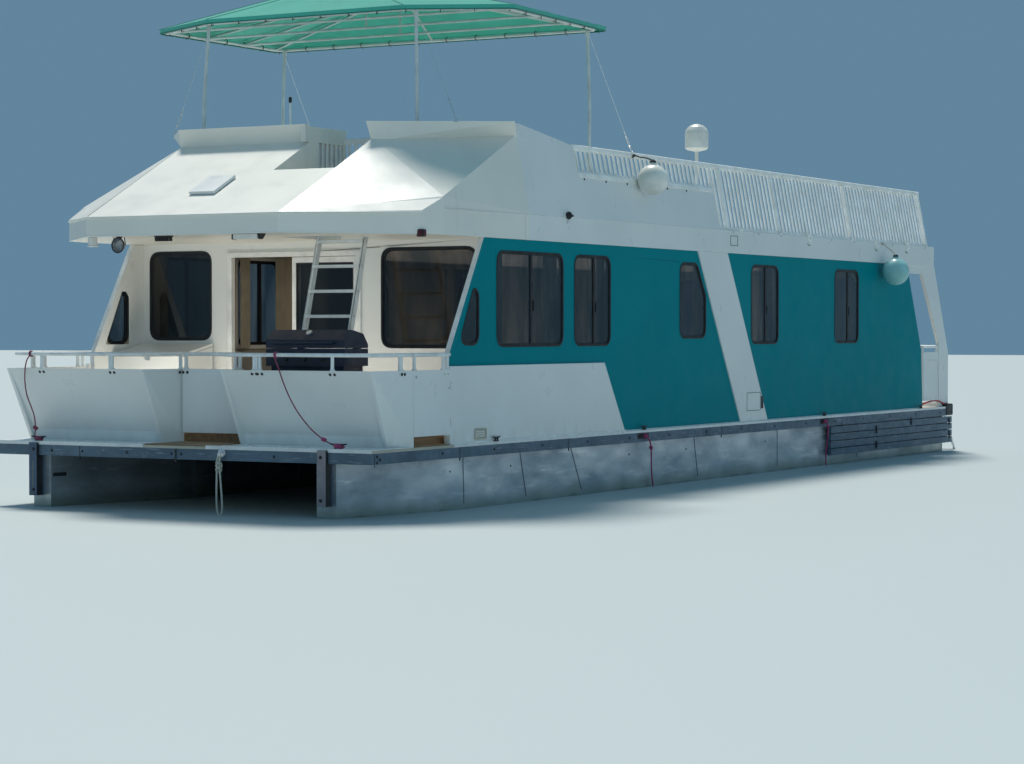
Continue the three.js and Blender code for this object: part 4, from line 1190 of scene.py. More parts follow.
def hitch(shape, centre, axis, radius, rope, turns):
    """Turns of rope about an axis, laid side by side."""
    axis = Vector(axis).normalized()
    side = axis.orthogonal().normalized()
    other = axis.cross(side)
    ring = circle(18)
    run = []
    for k in range(18 * turns + 1):
        c, s = ring[k % 18]
        shift = axis * rope * 1.9 * (k / 18 - turns / 2)
        run.append(centre + shift + (side * c + other * s) * radius)
    shape.tube(run, rope, 9)


# Where each bow line is made fast: its cleat, its knot and its turns on the rail.
BOW_HITCHES = [
    ("port", "magenta", (1.99, 0.080, 0.038), (1.806, 0.092, 0.098), 1.193),
    ("starboard", "maroon", (-1.876, 0.080, 0.036), (-1.938, 0.100, 0.146), -2.025),
]


def make_bow_trim():
    flange = Shape()
    for sign in SIGNS:
        flange.box((sign * 0.406, sign * 2.436), (-0.006, 0.014), (-0.026, 0.012))
        flange.box((sign * 0.507, sign * 2.374), (0.012, 0.479), (0.0005, 0.009))
        flange.box((sign * 2.372, sign * 2.436), (0.012, 0.80), (0.0005, 0.009))
    make("bow_flange", flange, "rail", bevel=0.002)
    sill = Shape().box((-0.400, 0.400), (0.020, 0.700), (0.0005, 0.012))
    for sign in SIGNS:
        sill.box((sign * 2.375, sign * 2.432), (0.80, 1.535), (0.0005, 0.010))
    make("threshold_boards", sill, "wood", bevel=0.003)
    riser = Shape().box((-0.600, 0.600), (0.735, 0.765), (0.004, 0.104))
    for sign in SIGNS:
        riser.box((sign * 2.245, sign * 2.275), (0.80, 1.86), (0.004, 0.104))
    make("threshold_risers", riser, "wood", bevel=0.004)
    metal = Shape()
    cleat(metal, at(1.99, 0.080, 0.010), (1, 0.06, 0))
    cleat(metal, at(-1.876, 0.080, 0.010), (1, 0, 0))
    for y in (2.47, 6.05, 11.72, 15.6):
        for sign in SIGNS:
            cleat(metal, at(sign * 2.452, y, 0.006), (0, 1, 0), 0.16)
    make("deck_cleats", metal, "black")
    for side, finish, cleated, knot, rail_x in BOW_HITCHES:
        turns = Shape()
        end = at(*cleated)
        hitch(turns, end, (1, 0, 0), 0.019, 0.0075, 6)
        hitch(turns, end - UP * 0.012, (0.25, 0.1, 1), 0.040, 0.0075, 2)
        hitch(turns, at(*knot), (1, 0.1, -0.35), 0.0135, 0.0075, 3)
        hitch(turns, at(*knot) + Vector((0.01, 0, 0.004)), (0.2, 0.3, 1), 0.0150, 0.007, 1)
        make("rope_hitches_bow_" + side, turns, finish)
        on_rail = Shape()
        hitch(on_rail, at(rail_x, 0.140, RAIL_Z), (1, 0, 0), RAIL_R + 0.0072, 0.007, 2)
        make("rope_turns_rail_" + side, on_rail, finish)


# Joints in the front beam, its bolts, the ring with its shackle, and the plates on the guide posts.
BEAM_SEAMS = ((-1.247, 0.004), (0.022, 0.011))
BEAM_BOLTS = (-1.627, -1.213, -0.6185, -0.032, 0.092, 1.262)
BEAM_Z = (-0.169, -0.030)
POST_X = 1.862


def make_beam_details():
    seams = Shape()
    for x, half in BEAM_SEAMS:
        seams.box((x - half, x + half), (-0.003, 0.010), BEAM_Z)
    for y in (1.72, 4.15, 8.3, 12.4):
        for sign in SIGNS:
            seams.box((sign * 2.430, sign * 2.4425), (y - 0.003, y + 0.003), BEAM_Z)
    for sign in SIGNS:
        seams.box((sign * 2.4385, sign * 2.4425), (0.045, 0.052), BEAM_Z)
    make("beam_seams", seams, "black")
    bolts = Shape()
    for x in BEAM_BOLTS:
        bolt(bolts, at(x, -0.001, -0.085), (0, -1, 0), 0.009)
    for sign in SIGNS:
        for k in range(15):
            bolt(bolts, at(sign * 2.441, 1.363 + 1.08 * k, -0.080), (sign, 0, 0), 0.009)
        for y, z in ((0.095, -0.060), (0.095, -0.125), (0.150, -0.090)):
            bolt(bolts, at(sign * 2.441, y, z), (sign, 0, 0), 0.010)
        for z in (-0.075, -0.51):
            bolt(bolts, at(sign * (POST_X - 0.01), -0.036, z), (0, -1, 0), 0.012)
    make("beam_bolts", bolts, "black")
    for side, sign in HANDS:
        x = sign * POST_X
        plate = Shape().box((x - 0.0535, x + 0.0535), (-0.036, -0.0305), (-0.5725, -0.004))
        plate.box((x - 0.0535, x + 0.0535), (-0.036, 0.088), (-0.5745, -0.5695))
        make("guide_post_plate_" + side, plate, "post_" + side, bevel=0.0025)
        edge = Shape().box((x + 0.052, x + 0.0575), (-0.038, 0.060), (-0.570, -0.006))
        make("guide_post_edge_" + side, edge, "black", bevel=0.001)
    x = -POST_X
    slot = Shape().box((x - 0.008, x + 0.008), (-0.0372, -0.0355), (-0.565, -0.20))
    make("guide_post_slot_starboard", slot, "seam")


RING_X = 0.612
RING_KNOT = [(0.0, -0.165, 0.2, 0.024), (0.008, -0.185, -0.5, 0.027), (-0.010, -0.205, 0.7, 0.024),
             (0.004, -0.228, -0.2, 0.027)]


def make_ring():
    plate = [(0, 0), (0.046, 0), (0.046, 0.006), (0.034, 0.009), (0, 0.009)]
    iron = Shape().lathe(plate, at(RING_X, -0.001, -0.062), (0, -1, 0), 32)
    iron.hoop(at(RING_X, -0.030, -0.080), (0.030, 0, 0), (0, 0, 0.034), 0.0065, 10, 28)
    iron.rod(at(RING_X, -0.004, -0.052), at(RING_X, -0.034, -0.050), 0.009, 12)
    make("bow_ring", iron, "steel")
    knot = Shape()
    for shift, z, turn, radius in RING_KNOT:
        hitch(knot, at(RING_X + shift, -0.062, z), (math.sin(turn), 0.35, math.cos(turn)), radius, 0.0102, 1)
    make("bow_ring_knot", knot, "pale_rope")
    stop = Shape().ball(at(0.440, 0.16, -0.262), 0.019, 20)
    stop.upright(0.440, 0.16, (-0.250, -0.168), 0.007, 12)
    make("tunnel_stop", stop, "ball_white")


for side, sign in HANDS:
    make_bow_rail(side, sign)
    make_side_gate(side, sign)
make_bow_gate()
make_bow_trim()
make_beam_details()
make_ring()


# Flybridge and roof: the front moulding, the hatch guard, lamps under the eave, belt, rail feet and horn.
EAVE = 2.20
BRIDGE_WALL = 3.02
RAIL_TOP = 3.32
FRONT_EDGE = [(-2.32, 1.145), (-1.24, 0.110), (1.24, 0.110), (2.32, 1.145)]
BELT_SEAM = [(1.50, 2.47), (2.4, 2.475), (4.0, 2.485), (7.6, 2.49), (10.6, 2.492)]
LUGS = (11.28, 13.83, 15.10)
STUDS = (8.75, 9.55, 10.3, 11.28, 12.1, 12.95, 13.83, 14.5, 15.10, 15.9)
BOARD_FORE = 4.64
RAIL_INSET = 0.038
CAP_SECTION = ((-0.032, -0.022), (0.032, -0.022), (-0.032, 0.022), (0.032, 0.022), (-0.020, 0.030),
               (0.020, 0.030))


def make_front_skin():
    skin = Shape()
    for sign in SIGNS:
        low = [(1.24, 0.110, 2.394), (2.32, 1.145, 2.394), (2.381, 1.480, 2.580), (1.275, 1.800, 3.228)]
        high = [(1.24, 0.106, 2.406), (2.322, 1.142, 2.440), (2.384, 1.482, 2.594), (1.275, 1.795, 3.240)]
        skin.hull([at(sign * x, y, z) for x, y, z in low + high])
    make("front_moulding_skin", skin, "roof", smooth=False)
    line = [at(x, y - 0.004, 2.398) for x, y in FRONT_EDGE]
    line[0].z += 0.022
    line[-1].z += 0.022
    make("front_moulding_lip", Shape().tube(line, 0.013, 12), "roof")
    drip = Shape().tube([at(x * 0.998, y + 0.004, EAVE + 0.004) for x, y in FRONT_EDGE], 0.008, 10)
    make("front_moulding_drip", drip, "white")


def make_hatch_guard():
    guard = Shape()
    for k in range(8):
        y = 1.845 + 0.090 * k
        guard.box((0.438, 0.452), (y - 0.016, y + 0.016), (ROOF_TOP, 3.265))
    for k in range(9):
        x = 0.52 + 0.088 * k
        guard.box((x - 0.016, x + 0.016), (2.538, 2.552), (ROOF_TOP, 3.285))
    guard.box((0.415, 1.262), (2.527, 2.563), (3.272, 3.335))
    guard.box((0.415, 1.262), (2.530, 2.560), (ROOF_TOP, 2.530))
    guard.box((0.395, 0.425), (1.95, 2.48), (ROOF_TOP, 3.262))
    make("hatch_guard", guard, "rail", bevel=0.003)
    liner = Shape()
    for x in ((0.478, 0.492), (1.222, 1.236)):
        liner.box(x, (1.17, 2.40), (2.21, ROOF_TOP))
    make("hatch_liner", liner, "white", bevel=0.003)


LAMP_X = -0.955
LAMP = at(LAMP_X, 0.30, 2.108)
LAMP_BOWL = [(0, 0.06), (0.035, 0.055), (0.062, 0.035), (0.076, 0.0), (0.080, -0.012), (0.072, -0.014),
             (0.068, 0.0), (0.050, 0.026), (0, 0.035)]


def make_eave_lamps():
    dome = [(0, 0), (0.060, 0), (0.060, 0.014), (0.052, 0.018), (0.050, 0.098), (0, 0.098)]
    white = Shape().lathe(dome, at(-1.33, 0.33, 2.098), UP, 36)
    white.box((0.560, 0.868), (0.270, 0.330), (2.146, 2.197))
    make("eave_lamp_housings", white, "rail", bevel=0.004)
    dark = Shape().box((0.545, 0.562), (0.266, 0.334), (2.142, 2.198))
    wedge = ((0.870, 2.200), (0.935, 2.200), (0.890, 2.140))
    dark.hull([at(x, y, z) for x, z in wedge for y in (0.26, 0.34)])
    for k in range(6):
        x = -0.460 + 0.035 * k
        dark.box((x, x + 0.024), (0.280, 0.330), (2.142, 2.186))
    dark.box((-0.468, -0.252), (0.282, 0.334), (2.184, 2.199))
    make("eave_vent_bar", dark, "black", bevel=0.003)


def make_docking_light():
    make("docking_light_bowl", Shape().lathe(LAMP_BOWL, LAMP, (0, 1, 0), 40), "dull")
    rim = LAMP + Vector((0, -0.015, 0))
    bezel = Shape().hoop(rim, (0.079, 0, 0), (0, 0, 0.079), 0.007, 10, 40)
    bezel.box((LAMP_X - 0.025, LAMP_X + 0.025), (0.29, 0.33), (2.182, 2.199))
    for hand in SIGNS:
        bezel.rod(at(LAMP_X + 0.085 * hand, 0.31, 2.106), at(LAMP_X + 0.070 * hand, 0.31, 2.195), 0.005, 10)
    make("docking_light_bezel", bezel, "black")
    pane = [(0, -0.004), (0.074, -0.002), (0.074, 0.002), (0, 0.0)]
    lens = Shape().lathe(pane, LAMP + Vector((0, -0.014, 0)), (0, -1, 0), 40)
    make("docking_light_lens", lens, "clear")


def make_side_light():
    case = Shape().box((2.275, 2.352), (1.115, 1.185), (2.168, 2.246))
    make("side_light_case", case, "black", bevel=0.006)
    lens = Shape().box((2.290, 2.340), (1.106, 1.118), (2.180, 2.234))
    lens.box((2.350, 2.360), (1.125, 1.175), (2.180, 2.234))
    make("side_light_lens", lens, "red", bevel=0.003)


def belt_x(z):
    return lean_x(z) if z > ROOF_TOP else BELT_X


def make_belt(side, sign):
    """The seam along the belt, the dark outline and bolts of its small hatch, and hooked painted shadows
    under the rail's lugs.
    """
    seam = Shape()
    for (fore, low), (aft, high) in zip(BELT_SEAM, BELT_SEAM[1:]):
        seam.rod(*(at(sign * (belt_x(z) + 0.001), y, z) for y, z in ((fore, low), (aft, high))), 0.004, 8)
    seam.box((sign * 2.396, sign * 2.404), (3.198, 3.204), (2.21, 2.49))
    make("belt_seam_" + side, seam, "rail")
    plane = Plane("side", sign * BELT_X, sign)
    hatch = rect((8.66, 8.88), (2.30, 2.425))
    marks = plane.ring(Shape(), hatch, (0.004, -0.004), (0.02, 0.018), (0.004, -0.004))
    for y in (8.685, 8.855):
        bolt(marks, plane.point(y, 2.30, 0.0), (sign, 0, 0), 0.004)
    # Dark hooks under the lugs: painted shadows of the lugs on the belt.
    for y in LUGS:
        turns = [math.pi + math.pi * k / 10 for k in range(8)]
        hook = [plane.point(y + 0.055 * math.cos(t), 2.405 + 0.030 * math.sin(t), 0.004) for t in turns]
        marks.tube(hook, 0.005, 8)
    make("belt_shadow_marks_" + side, marks, "seam")


def make_rail_feet(side, sign):
    """The lugs, studs and board that hold a picket rail."""
    plane = Plane("side", sign * BELT_X, sign)
    lugs = Shape()
    for y in LUGS:
        plate = ((y - 0.075, 2.52), (y + 0.075, 2.52), (y - 0.03, 2.425), (y + 0.055, 2.425))
        lugs.hull([plane.point(*p, d) for p in plate for d in (0.0, 0.022)])
        lugs.box((sign * 2.345, sign * 2.420), (y - 0.05, y + 0.05), (2.50, 2.540))
    for y in (9.0, 10.3, 12.9):
        lugs.box((sign * 2.335, sign * 2.412), (y - 0.04, y + 0.04), (2.485, 2.520))
    make("rail_lugs_" + side, lugs, "roof_rail", bevel=0.004)
    studs = Shape()
    for y in STUDS:
        bolt(studs, plane.point(y, 2.475, 0.022 if y in LUGS else 0.001), (sign, 0, 0), 0.008)
    make("rail_studs_" + side, studs, "dull")
    edges = [(lean_x(z), z) for z in (BRIDGE_WALL - 0.05, BRIDGE_WALL + 0.006)]
    board = Shape().hull([at(sign * (x + d), y, z) for x, z in edges for d in (-0.05, 0.012)
                          for y in (BOARD_FORE, 8.31)])
    make("rail_board_" + side, board, "roof_rail", bevel=0.004)
    bolts = Shape()
    for k in range(6):
        place = at(sign * (lean_x(2.95) + 0.001), BOARD_FORE + 0.12 + 0.55 * k, 2.95)
        bolt(bolts, place, (sign, 0, 0.2), 0.009)
    make("rail_board_bolts_" + side, bolts, "black")


def make_top_rails(side, sign):
    """A capping on the picket rail, and stanchions at its joints."""
    x = lean_x(RAIL_TOP) - RAIL_INSET
    cap = Shape().hull([at(sign * (x + u), y, RAIL_TOP + w) for y in (4.60, 16.06) for u, w in CAP_SECTION])
    for y in (8.62, 10.32, 12.92, 16.02):
        ends = [(lean_x(z) - RAIL_INSET, z) for z in (ROOF_TOP + 0.002, RAIL_TOP - 0.01)]
        cap.hull([at(sign * (x + u), y + v, z) for x, z in ends for u in (-0.024, 0.030)
                  for v in (-0.024, 0.024)])
    make("rail_cap_" + side, cap, "roof_rail", bevel=0.004)


def make_horn():
    plane = Plane("side", belt_x(2.55), 1)
    foot = ((4.17, 2.41), (4.30, 2.41), (4.19, 2.46), (4.26, 2.46))
    base = Shape().hull([plane.point(*p, d) for p in foot for d in (0.0, 0.02)])
    make("horn_bracket", base, "rail", bevel=0.004)
    flare = [(4.26, 0.012), (4.23, 0.015), (4.20, 0.022), (4.17, 0.034), (4.155, 0.044)]
    horn = Shape().tube([plane.point(y, 2.505, 0.045) for y, _ in flare], [r for _, r in flare], 24)
    make("horn", horn, "black")


make_front_skin()
make_hatch_guard()
make_eave_lamps()
make_docking_light()
make_side_light()
for side, sign in HANDS:
    make_belt(side, sign)
    make_rail_feet(side, sign)
for side, sign in HANDS:
    make_top_rails(side, sign)
make_horn()


# Bow deck fittings: the grill's knobs and handles, the ladder's treads, the locker's hardware.
GRILL = {"x": (0.80, 1.78), "y": (0.52, 0.96), "top": 1.010}
BURNERS = (1.06, 1.29, 1.52)
KNOB_R = 0.022
KNOB = ((0, 0), (1.15, 0), (1.15, 0.004), (1, 0.006), (0.9, 0.024), (0.6, 0.027), (0, 0.027))


def rods_aft(shape, xs, y, z, radius, sides):
    """A rod running aft at each x."""
    for x in xs:
        shape.rod(at(x, y[0], z), at(x, y[1], z), radius, sides)
    return shape


def hinge_pins(xs, y, z):
    pins = Shape()
    for x in xs:
        pins.rod(at(x - 0.05, y, z), at(x + 0.05, y, z), 0.008, 14)
    return pins


def make_grill():
    (left, right), (fore, aft) = GRILL["x"], GRILL["y"]
    knobs = Shape()
    for x in BURNERS:
        knobs.lathe([(KNOB_R * r, h) for r, h in KNOB], at(x, fore - 0.001, 0.905), (0, -1, 0), 24)
    make("grill_knobs", knobs, "black")
    trim = Shape().box((left + 0.06, right - 0.06), (fore - 0.004, fore), (0.862, 0.868))
    trim.box((left + 0.06, right - 0.06), (fore + 0.036, fore + 0.040), (0.30, 0.306))
    for x in (left + 0.35, right - 0.35):
        trim.box((x - 0.010, x + 0.010), (fore + 0.010, fore + 0.026), (0.60, 0.78))
        for z in (0.605, 0.775):
            trim.rod(at(x, fore + 0.045, z), at(x, fore + 0.018, z), 0.006, 12)
    dish = [(0, 0), (0.036, 0), (0.036, 0.001), (0.030, 0.002), (0, 0.002)]
    for x in BURNERS:
        trim.lathe(dish, at(x, fore - 0.0005, 0.905), (0, -1, 0), 28)
    make("grill_trim", trim, "black", bevel=0.001)
    doors = Shape()
    for a, b in ((left + 0.06, 1.285), (1.295, right - 0.06)):
        doors.box((a, b), (fore + 0.034, fore + 0.042), (0.32, 0.82))
    make("grill_doors", doors, "navy", bevel=0.004)
    feet = Shape()
    foot = [(0, 0), (0.030, 0), (0.030, 0.012), (0.016, 0.022), (0, 0.022)]
    for x in (left + 0.085, right - 0.085):
        for y in (fore + 0.085, aft - 0.085):
            feet.lathe(foot, at(x, y, 0.0), UP, 20)
    make("grill_feet", feet, "black")


def make_grill_top():
    (left, right), (fore, aft), top = GRILL["x"], GRILL["y"], GRILL["top"]
    bars = [left + 0.04 + 0.0392 * k for k in range(24)]
    grates = rods_aft(Shape(), bars, (fore + 0.03, aft - 0.03), top - 0.025, 0.004, 8)
    for y in (fore + 0.03, aft - 0.03):
        grates.rod(at(left + 0.03, y, top - 0.028), at(right - 0.03, y, top - 0.028), 0.005, 8)
    make("grill_grate", grates, "dull")
    make("grill_burners", rods_aft(Shape(), BURNERS, (fore + 0.06, aft - 0.05), 0.925, 0.018, 14), "dull")
    dial = [(0, 0.012), (0.030, 0.011), (0.034, 0.006), (0.034, -0.01), (0, -0.01)]
    gauge = Shape().lathe(dial, at(1.29, fore + 0.078, 1.176), (0, -0.62, 0.78), 32)
    make("grill_lid_gauge", gauge, "steel", "grill_lid", 0.001)
    make("grill_hinges", hinge_pins((left + 0.14, right - 0.14), aft + 0.006, top + 0.002), "steel")


def make_ladder_details():
    treads = Shape()
    bolts = Shape()
    for k in range(1, 11):
        z = 0.27 * k
        y = 1.10 + 0.85 * z / 2.95
        treads.box((0.652, 1.208), (y - 0.012, y + 0.082), (z + 0.015, z + 0.018))
        for x, facing in ((0.620, -1), (1.240, 1)):
            bolt(bolts, at(x, y + 0.035, z), (facing, 0, 0), 0.008)
    make("ladder_grip", treads, "pale_grip")
    make("ladder_bolts", bolts, "steel")
    ends = Shape()
    for x in (0.635, 1.225):
        ends.box((x - 0.019, x + 0.019), (1.094, 1.182), (0.0, 0.035))
    make("ladder_feet", ends, "black", bevel=0.003)


def make_locker_details():
    make("locker_hinges", hinge_pins((-2.08, -1.52), 2.448, 1.016), "steel")
    latch = Shape().box((-1.835, -1.765), (1.874, 1.884), (0.86, 0.93))
    make("locker_latch", latch, "steel", "bow_locker_lid", 0.003)
    # A thin dark sheet along the lid's gap: painted shade.
    edge = ((1.905, 0.9015), (2.44, 1.0085), (1.905, 0.903), (2.44, 1.011))
    make("locker_lid_gap_shade", Shape().prism((-2.285, -1.315), edge), "seam")


# Inside: the console's panel, dials and levers, seats, a galley front and curtains, seen through the glass.
def make_helm_details():
    black = Shape().prism((1.26, 2.04), ((2.95, 0.93), (2.99, 0.85), (2.96, 0.94), (3.004, 0.85)))
    black.box((1.30, 1.52), (2.70, 2.82), (0.962, 1.02))
    make("helm_panel", black, "black", bevel=0.004)
    dials = Shape()
    rim = [(0, 0), (0.030, 0), (0.030, 0.006), (0.024, 0.004), (0, 0.004)]
    for x in (1.36, 1.44, 1.52, 1.80, 1.88, 1.96):
        dials.lathe(rim, at(x, 2.982, 0.895), (0, 0.9, 0.42), 24)
    make("helm_dials", dials, "steel")
    levers = Shape()
    for x in (2.00, 2.05):
        levers.rod(at(x, 2.84, 0.962), at(x, 2.87, 1.10), 0.009, 12)
        levers.ball(at(x, 2.872, 1.112), 0.020, 14)
    make("helm_levers", levers, "steel")


def cushion(name, x, y, z):
    obj = make(name, Shape().box(x, y, z), "cloth", bevel=0.045, segments=5)


def make_interior():
    bases = Shape().box((1.35, 1.95), (3.62, 4.10), (0.004, 0.44))
    bases.box((-2.28, -1.66), (2.95, 6.55), (0.004, 0.40))
    bases.box((-2.28, -1.68), (7.1, 9.9), (0.004, 0.90))
    bases.box((1.70, 2.29), (8.75, 10.9), (0.004, 0.90))
    make("cabinets", bases, "wood", bevel=0.006)
    tops = Shape().box((-2.28, -1.65), (7.08, 9.92), (0.902, 0.935))
    tops.box((1.67, 2.29), (8.73, 10.92), (0.902, 0.935))
    tops.box((0.55, 1.45), (5.35, 6.35), (0.70, 0.73))
    tops.rod(at(1.0, 5.85, 0.004), at(1.0, 5.85, 0.70), 0.04, 20)
    make("counter_tops", tops, "white", bevel=0.006)
    cushion("helm_seat_pad", (1.33, 1.97), (3.60, 4.08), (0.442, 0.56))
    cushion("helm_seat_back", (1.33, 1.97), (4.09, 4.22), (0.52, 1.05))
    for k, (fore, aft) in enumerate(((2.96, 4.14), (4.16, 5.34), (5.36, 6.54))):
        cushion(f"settee_pad_{k}", (-2.15, -1.64), (fore, aft), (0.402, 0.54))
        cushion(f"settee_back_{k}", (-2.285, -2.16), (fore, aft), (0.50, 0.94))


def curtain(shape, sign, y, z):
    """A pleated panel just inside the glass."""
    face = sign * (WALL_OUT - 0.105)
    rings = []
    for k in range(33):
        v = y[0] + (y[1] - y[0]) * k / 32
        push = 0.020 * math.sin(k * math.pi / 4)
        corners = ((push, z[0]), (push + 0.004, z[0]), (push + 0.004, z[1]), (push, z[1]))
        rings.append([at(face + u, v, w) for u, w in corners])
    shape.loft(rings)


def make_curtains():
    cloth = Shape()
    rods = Shape()
    for sign in SIGNS:
        for name, outline, _ in SIDE_WINDOWS:
            if name == "quarter":
                continue
            fore, aft = min(p[0] for p in outline), max(p[0] for p in outline)
            low, high = min(p[1] for p in outline), max(p[1] for p in outline)
            wide = 0.20 * (aft - fore)
            for y in ((fore - 0.02, fore + wide), (aft - wide, aft + 0.02)):
                curtain(cloth, sign, y, (low - 0.03, high + 0.03))
            x = sign * (WALL_OUT - 0.103)
            rods.rod(at(x, fore - 0.05, high + 0.04), at(x, aft + 0.05, high + 0.04), 0.008, 10)
    make("curtains", cloth, "beige")
    make("curtain_rods", rods, "dull")


make_grill()
make_grill_top()
make_ladder_details()
make_locker_details()
make_helm_details()
make_interior()
make_curtains()


# Fenders and the fittings along the sides.
FENDERS = [
    ("fender_fore", 0.185, (2.502, 6.180, 3.015), (2.262, 6.150, 3.312), "ball_white", "black"),
    ("fender_aft", 0.200, (2.612, 14.070, 2.070), (2.416, 14.050, 2.490), "ball_aqua", "pale_rope"),
]
FENDER_NECK = [(0, 0), (0.052, 0), (0.046, 0.020), (0.034, 0.034), (0.034, 0.052), (0, 0.052)]
FENDER_EYE = [(0, -0.006), (0.038, -0.006), (0.040, 0.012), (0.030, 0.026), (0, 0.026)]
POD_SIDE = 2.35


def make_fender(name, r, centre, tie, sign, finish, cord_finish):
    shell = Shape().ball(centre, r, 48)
    shell.lathe(FENDER_NECK, centre + UP * (r - 0.012), UP, 32)
    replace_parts(make(name + "_ball", shell, finish), name)
    make(name + "_eye", Shape().lathe(FENDER_EYE, centre + UP * (r + 0.022), UP, 28), "black")
    top = centre + UP * (r + 0.045)
    end = tie + Vector((-0.02 * sign, 0, -0.03))
    route = [top, top.lerp(tie, 0.35) + UP * 0.01, top.lerp(tie, 0.7), tie, end]
    cord = Shape().tube(smooth_route(route), 0.009, 12)
    cord.ball(tie, 0.020, 14)
    cord.ball(top, 0.017, 14)
    make(name + "_lanyard", cord, cord_finish)


def make_fenders():
    for side, sign in HANDS:
        for name, r, (x, y, z), (tx, ty, tz), *finishes in FENDERS:
            make_fender(f"{name}_{side}", r, at(sign * x, y, z), at(sign * tx, ty, tz), sign, *finishes)


def make_side_fittings(side, sign):
    plane = Plane("side", sign * WALL_OUT, sign)
    grille = rect((2.05, 2.29), (0.04, 0.15))
    vent = plane.ring(Shape(), grille, (0.006, -0.012), (0.02, 0.02), (0.055, 0.043))
    for k in range(4):
        z = 0.056 + 0.024 * k
        plane.bar(vent, (2.06, 2.28), (z, z + 0.008), (0.043, 0.051))
    make("side_vent_" + side, vent, "beige", bevel=0.002)
    sill = Shape().box((sign * 2.383, sign * 2.4415), (1.60, 16.74), (-0.0285, 0.003))
    make("deck_sill_" + side, sill, "white", bevel=0.001)
    clips = Shape()
    for y, z in ((13.75, -0.255), (13.75, -0.48), (15.2, -0.18), (16.90, -0.235), (16.90, -0.44)):
        clips.box((sign * 2.442, sign * 2.458), (y - 0.02, y + 0.02), (z - 0.055, z + 0.055))
    make("plank_clips_" + side, clips, "black", bevel=0.003)
    block = Shape().box((sign * 2.36, sign * 2.455), (16.76, 17.06), (-0.135, 0.045))
    make("corner_bumper_" + side, block, "black", bevel=0.02, segments=4)


def make_beam_cleats(side, sign):
    """The two cleats along the side beam and the dark slots beside them."""
    beam = Plane("side", sign * HALF, sign)
    pocket = Shape()
    for y in (5.90, 11.60):
        beam.bar(pocket, (y, y + 0.30), (-0.105, -0.035), (0.004, -0.002))
    make("cleat_pockets_" + side, pocket, "black", bevel=0.001)
    horns = Shape()
    stand_off = Vector((sign * 0.018, 0, 0))
    for y in (6.03, 11.73):
        centre = beam.point(y, -0.070, 0.0)
        line = [centre + stand_off + Vector((0, v, 0)) for v in (-0.10, -0.06, 0.0, 0.06, 0.10)]
        horns.tube(line, [0.007, 0.011, 0.013, 0.011, 0.007], 14)
        for v in (-0.035, 0.035):
            foot = centre + Vector((0, v, 0))
            horns.rod(foot, foot + stand_off, 0.010, 12)
    make("beam_cleats_" + side, horns, "black")


def make_side_hitches():
    turns = Shape()
    for y, drop in ((6.07, (2.468, 6.205, -0.215)), (11.73, (2.476, 11.79, -0.150))):
        for k in range(4):
            hitch(turns, at(2.452, y - 0.035 + 0.022 * k, -0.070), (0, 1, 0), 0.020, 0.0085, 1)
        add_knot(turns, at(*drop), 0.0085, 70, (0.017, 0.019))
    make("side_line_hitches", turns, "magenta")


def make_side_hose():
    """From the deck washing valve to the corner bumper; both ends are held."""
    route = [(2.25, 15.95, 0.03), (2.33, 16.15, 0.075), (2.36, 16.38, 0.10), (2.38, 16.60, 0.09),
             (2.40, 16.78, 0.045), (2.41, 16.90, 0.048)]
    hose = Shape().tube(smooth_route([at(*place) for place in route]), 0.014, 14)
    make("washdown_hose", hose, "hose")
    valve = Shape().rod(at(2.25, 15.95, 0.001), at(2.25, 15.95, 0.06), 0.022, 18)
    make("hose_valve", valve, "black", bevel=0.003)


def make_pontoon_seams():
    seams = Shape()
    studs = Shape()
    outer = ((1.93, 1.95), (3.17, 3.31), (4.36, 4.63), (7.66, 7.78), (10.3, 10.3), (13.2, 13.2))
    inner = ((2.1, 2.1), (4.2, 4.2), (6.3, 6.3))
    for sign in SIGNS:
        for x, lines in ((sign * (POD_SIDE + 0.001), outer), (sign * 1.299, inner)):
            for top, foot in lines:
                seams.rod(at(x, top, -0.145), at(x, foot, -0.640), 0.006, 8)
        for y in (1.66, 2.96, 5.85, 7.43, 9.9):
            place = at(sign * (POD_SIDE + 0.001), y, -0.285)
            studs.lathe([(0, 0), (0.013, 0), (0.010, 0.006), (0, 0.008)], place, (sign, 0, 0), 16)
    make("pontoon_seams", seams, "weld")
    make("pontoon_plugs", studs, "seam")
    foot = ((-1.716, 0.12), (-1.676, 0.29), (-1.708, 0.12), (-1.668, 0.29))
    mark = Shape().hull([at(x, y, z) for x, y in foot for z in (-0.375, -0.335)])
    make("pontoon_slot", mark, "black", bevel=0.002)


# Aft: gates and rails, the swim ladder's pads, the drives' grilles and rams, and the propellers.
STERN_Y = 16.970


def make_stern_rail():
    white = Shape()
    flange = [(0, 0), (0.045, 0), (0.045, 0.008), (0.024, 0.014), (0.019, 0.03), (0, 0.03)]
    for sign in SIGNS:
        a, b = sign * 0.470, sign * 2.290
        for i in range(4):
            x = a + (b - a) * i / 3
            white.lathe(flange, at(x, STERN_Y, 0.060), UP, 28)
            for z in (0.35, 0.64):
                white.ball(at(x, STERN_Y, z), 0.024, 18)
            white.ball(at(x, STERN_Y, RAIL_Z), 0.026, 18)
        for z, r in ((RAIL_Z, 0.0205), (0.64, 0.0135), (0.35, 0.0135)):
            white.rod(at(a, STERN_Y, z), at(b, STERN_Y, z), r, 20)
        for x in (a, b):
            white.ball(at(x, STERN_Y, RAIL_Z), 0.027, 18)
    make("stern_rail_fittings", white, "rail")
    make("stern_mat", Shape().box((-2.2, 2.2), (16.35, 16.93), (0.0005, 0.005)), "pale_grip", bevel=0.001)


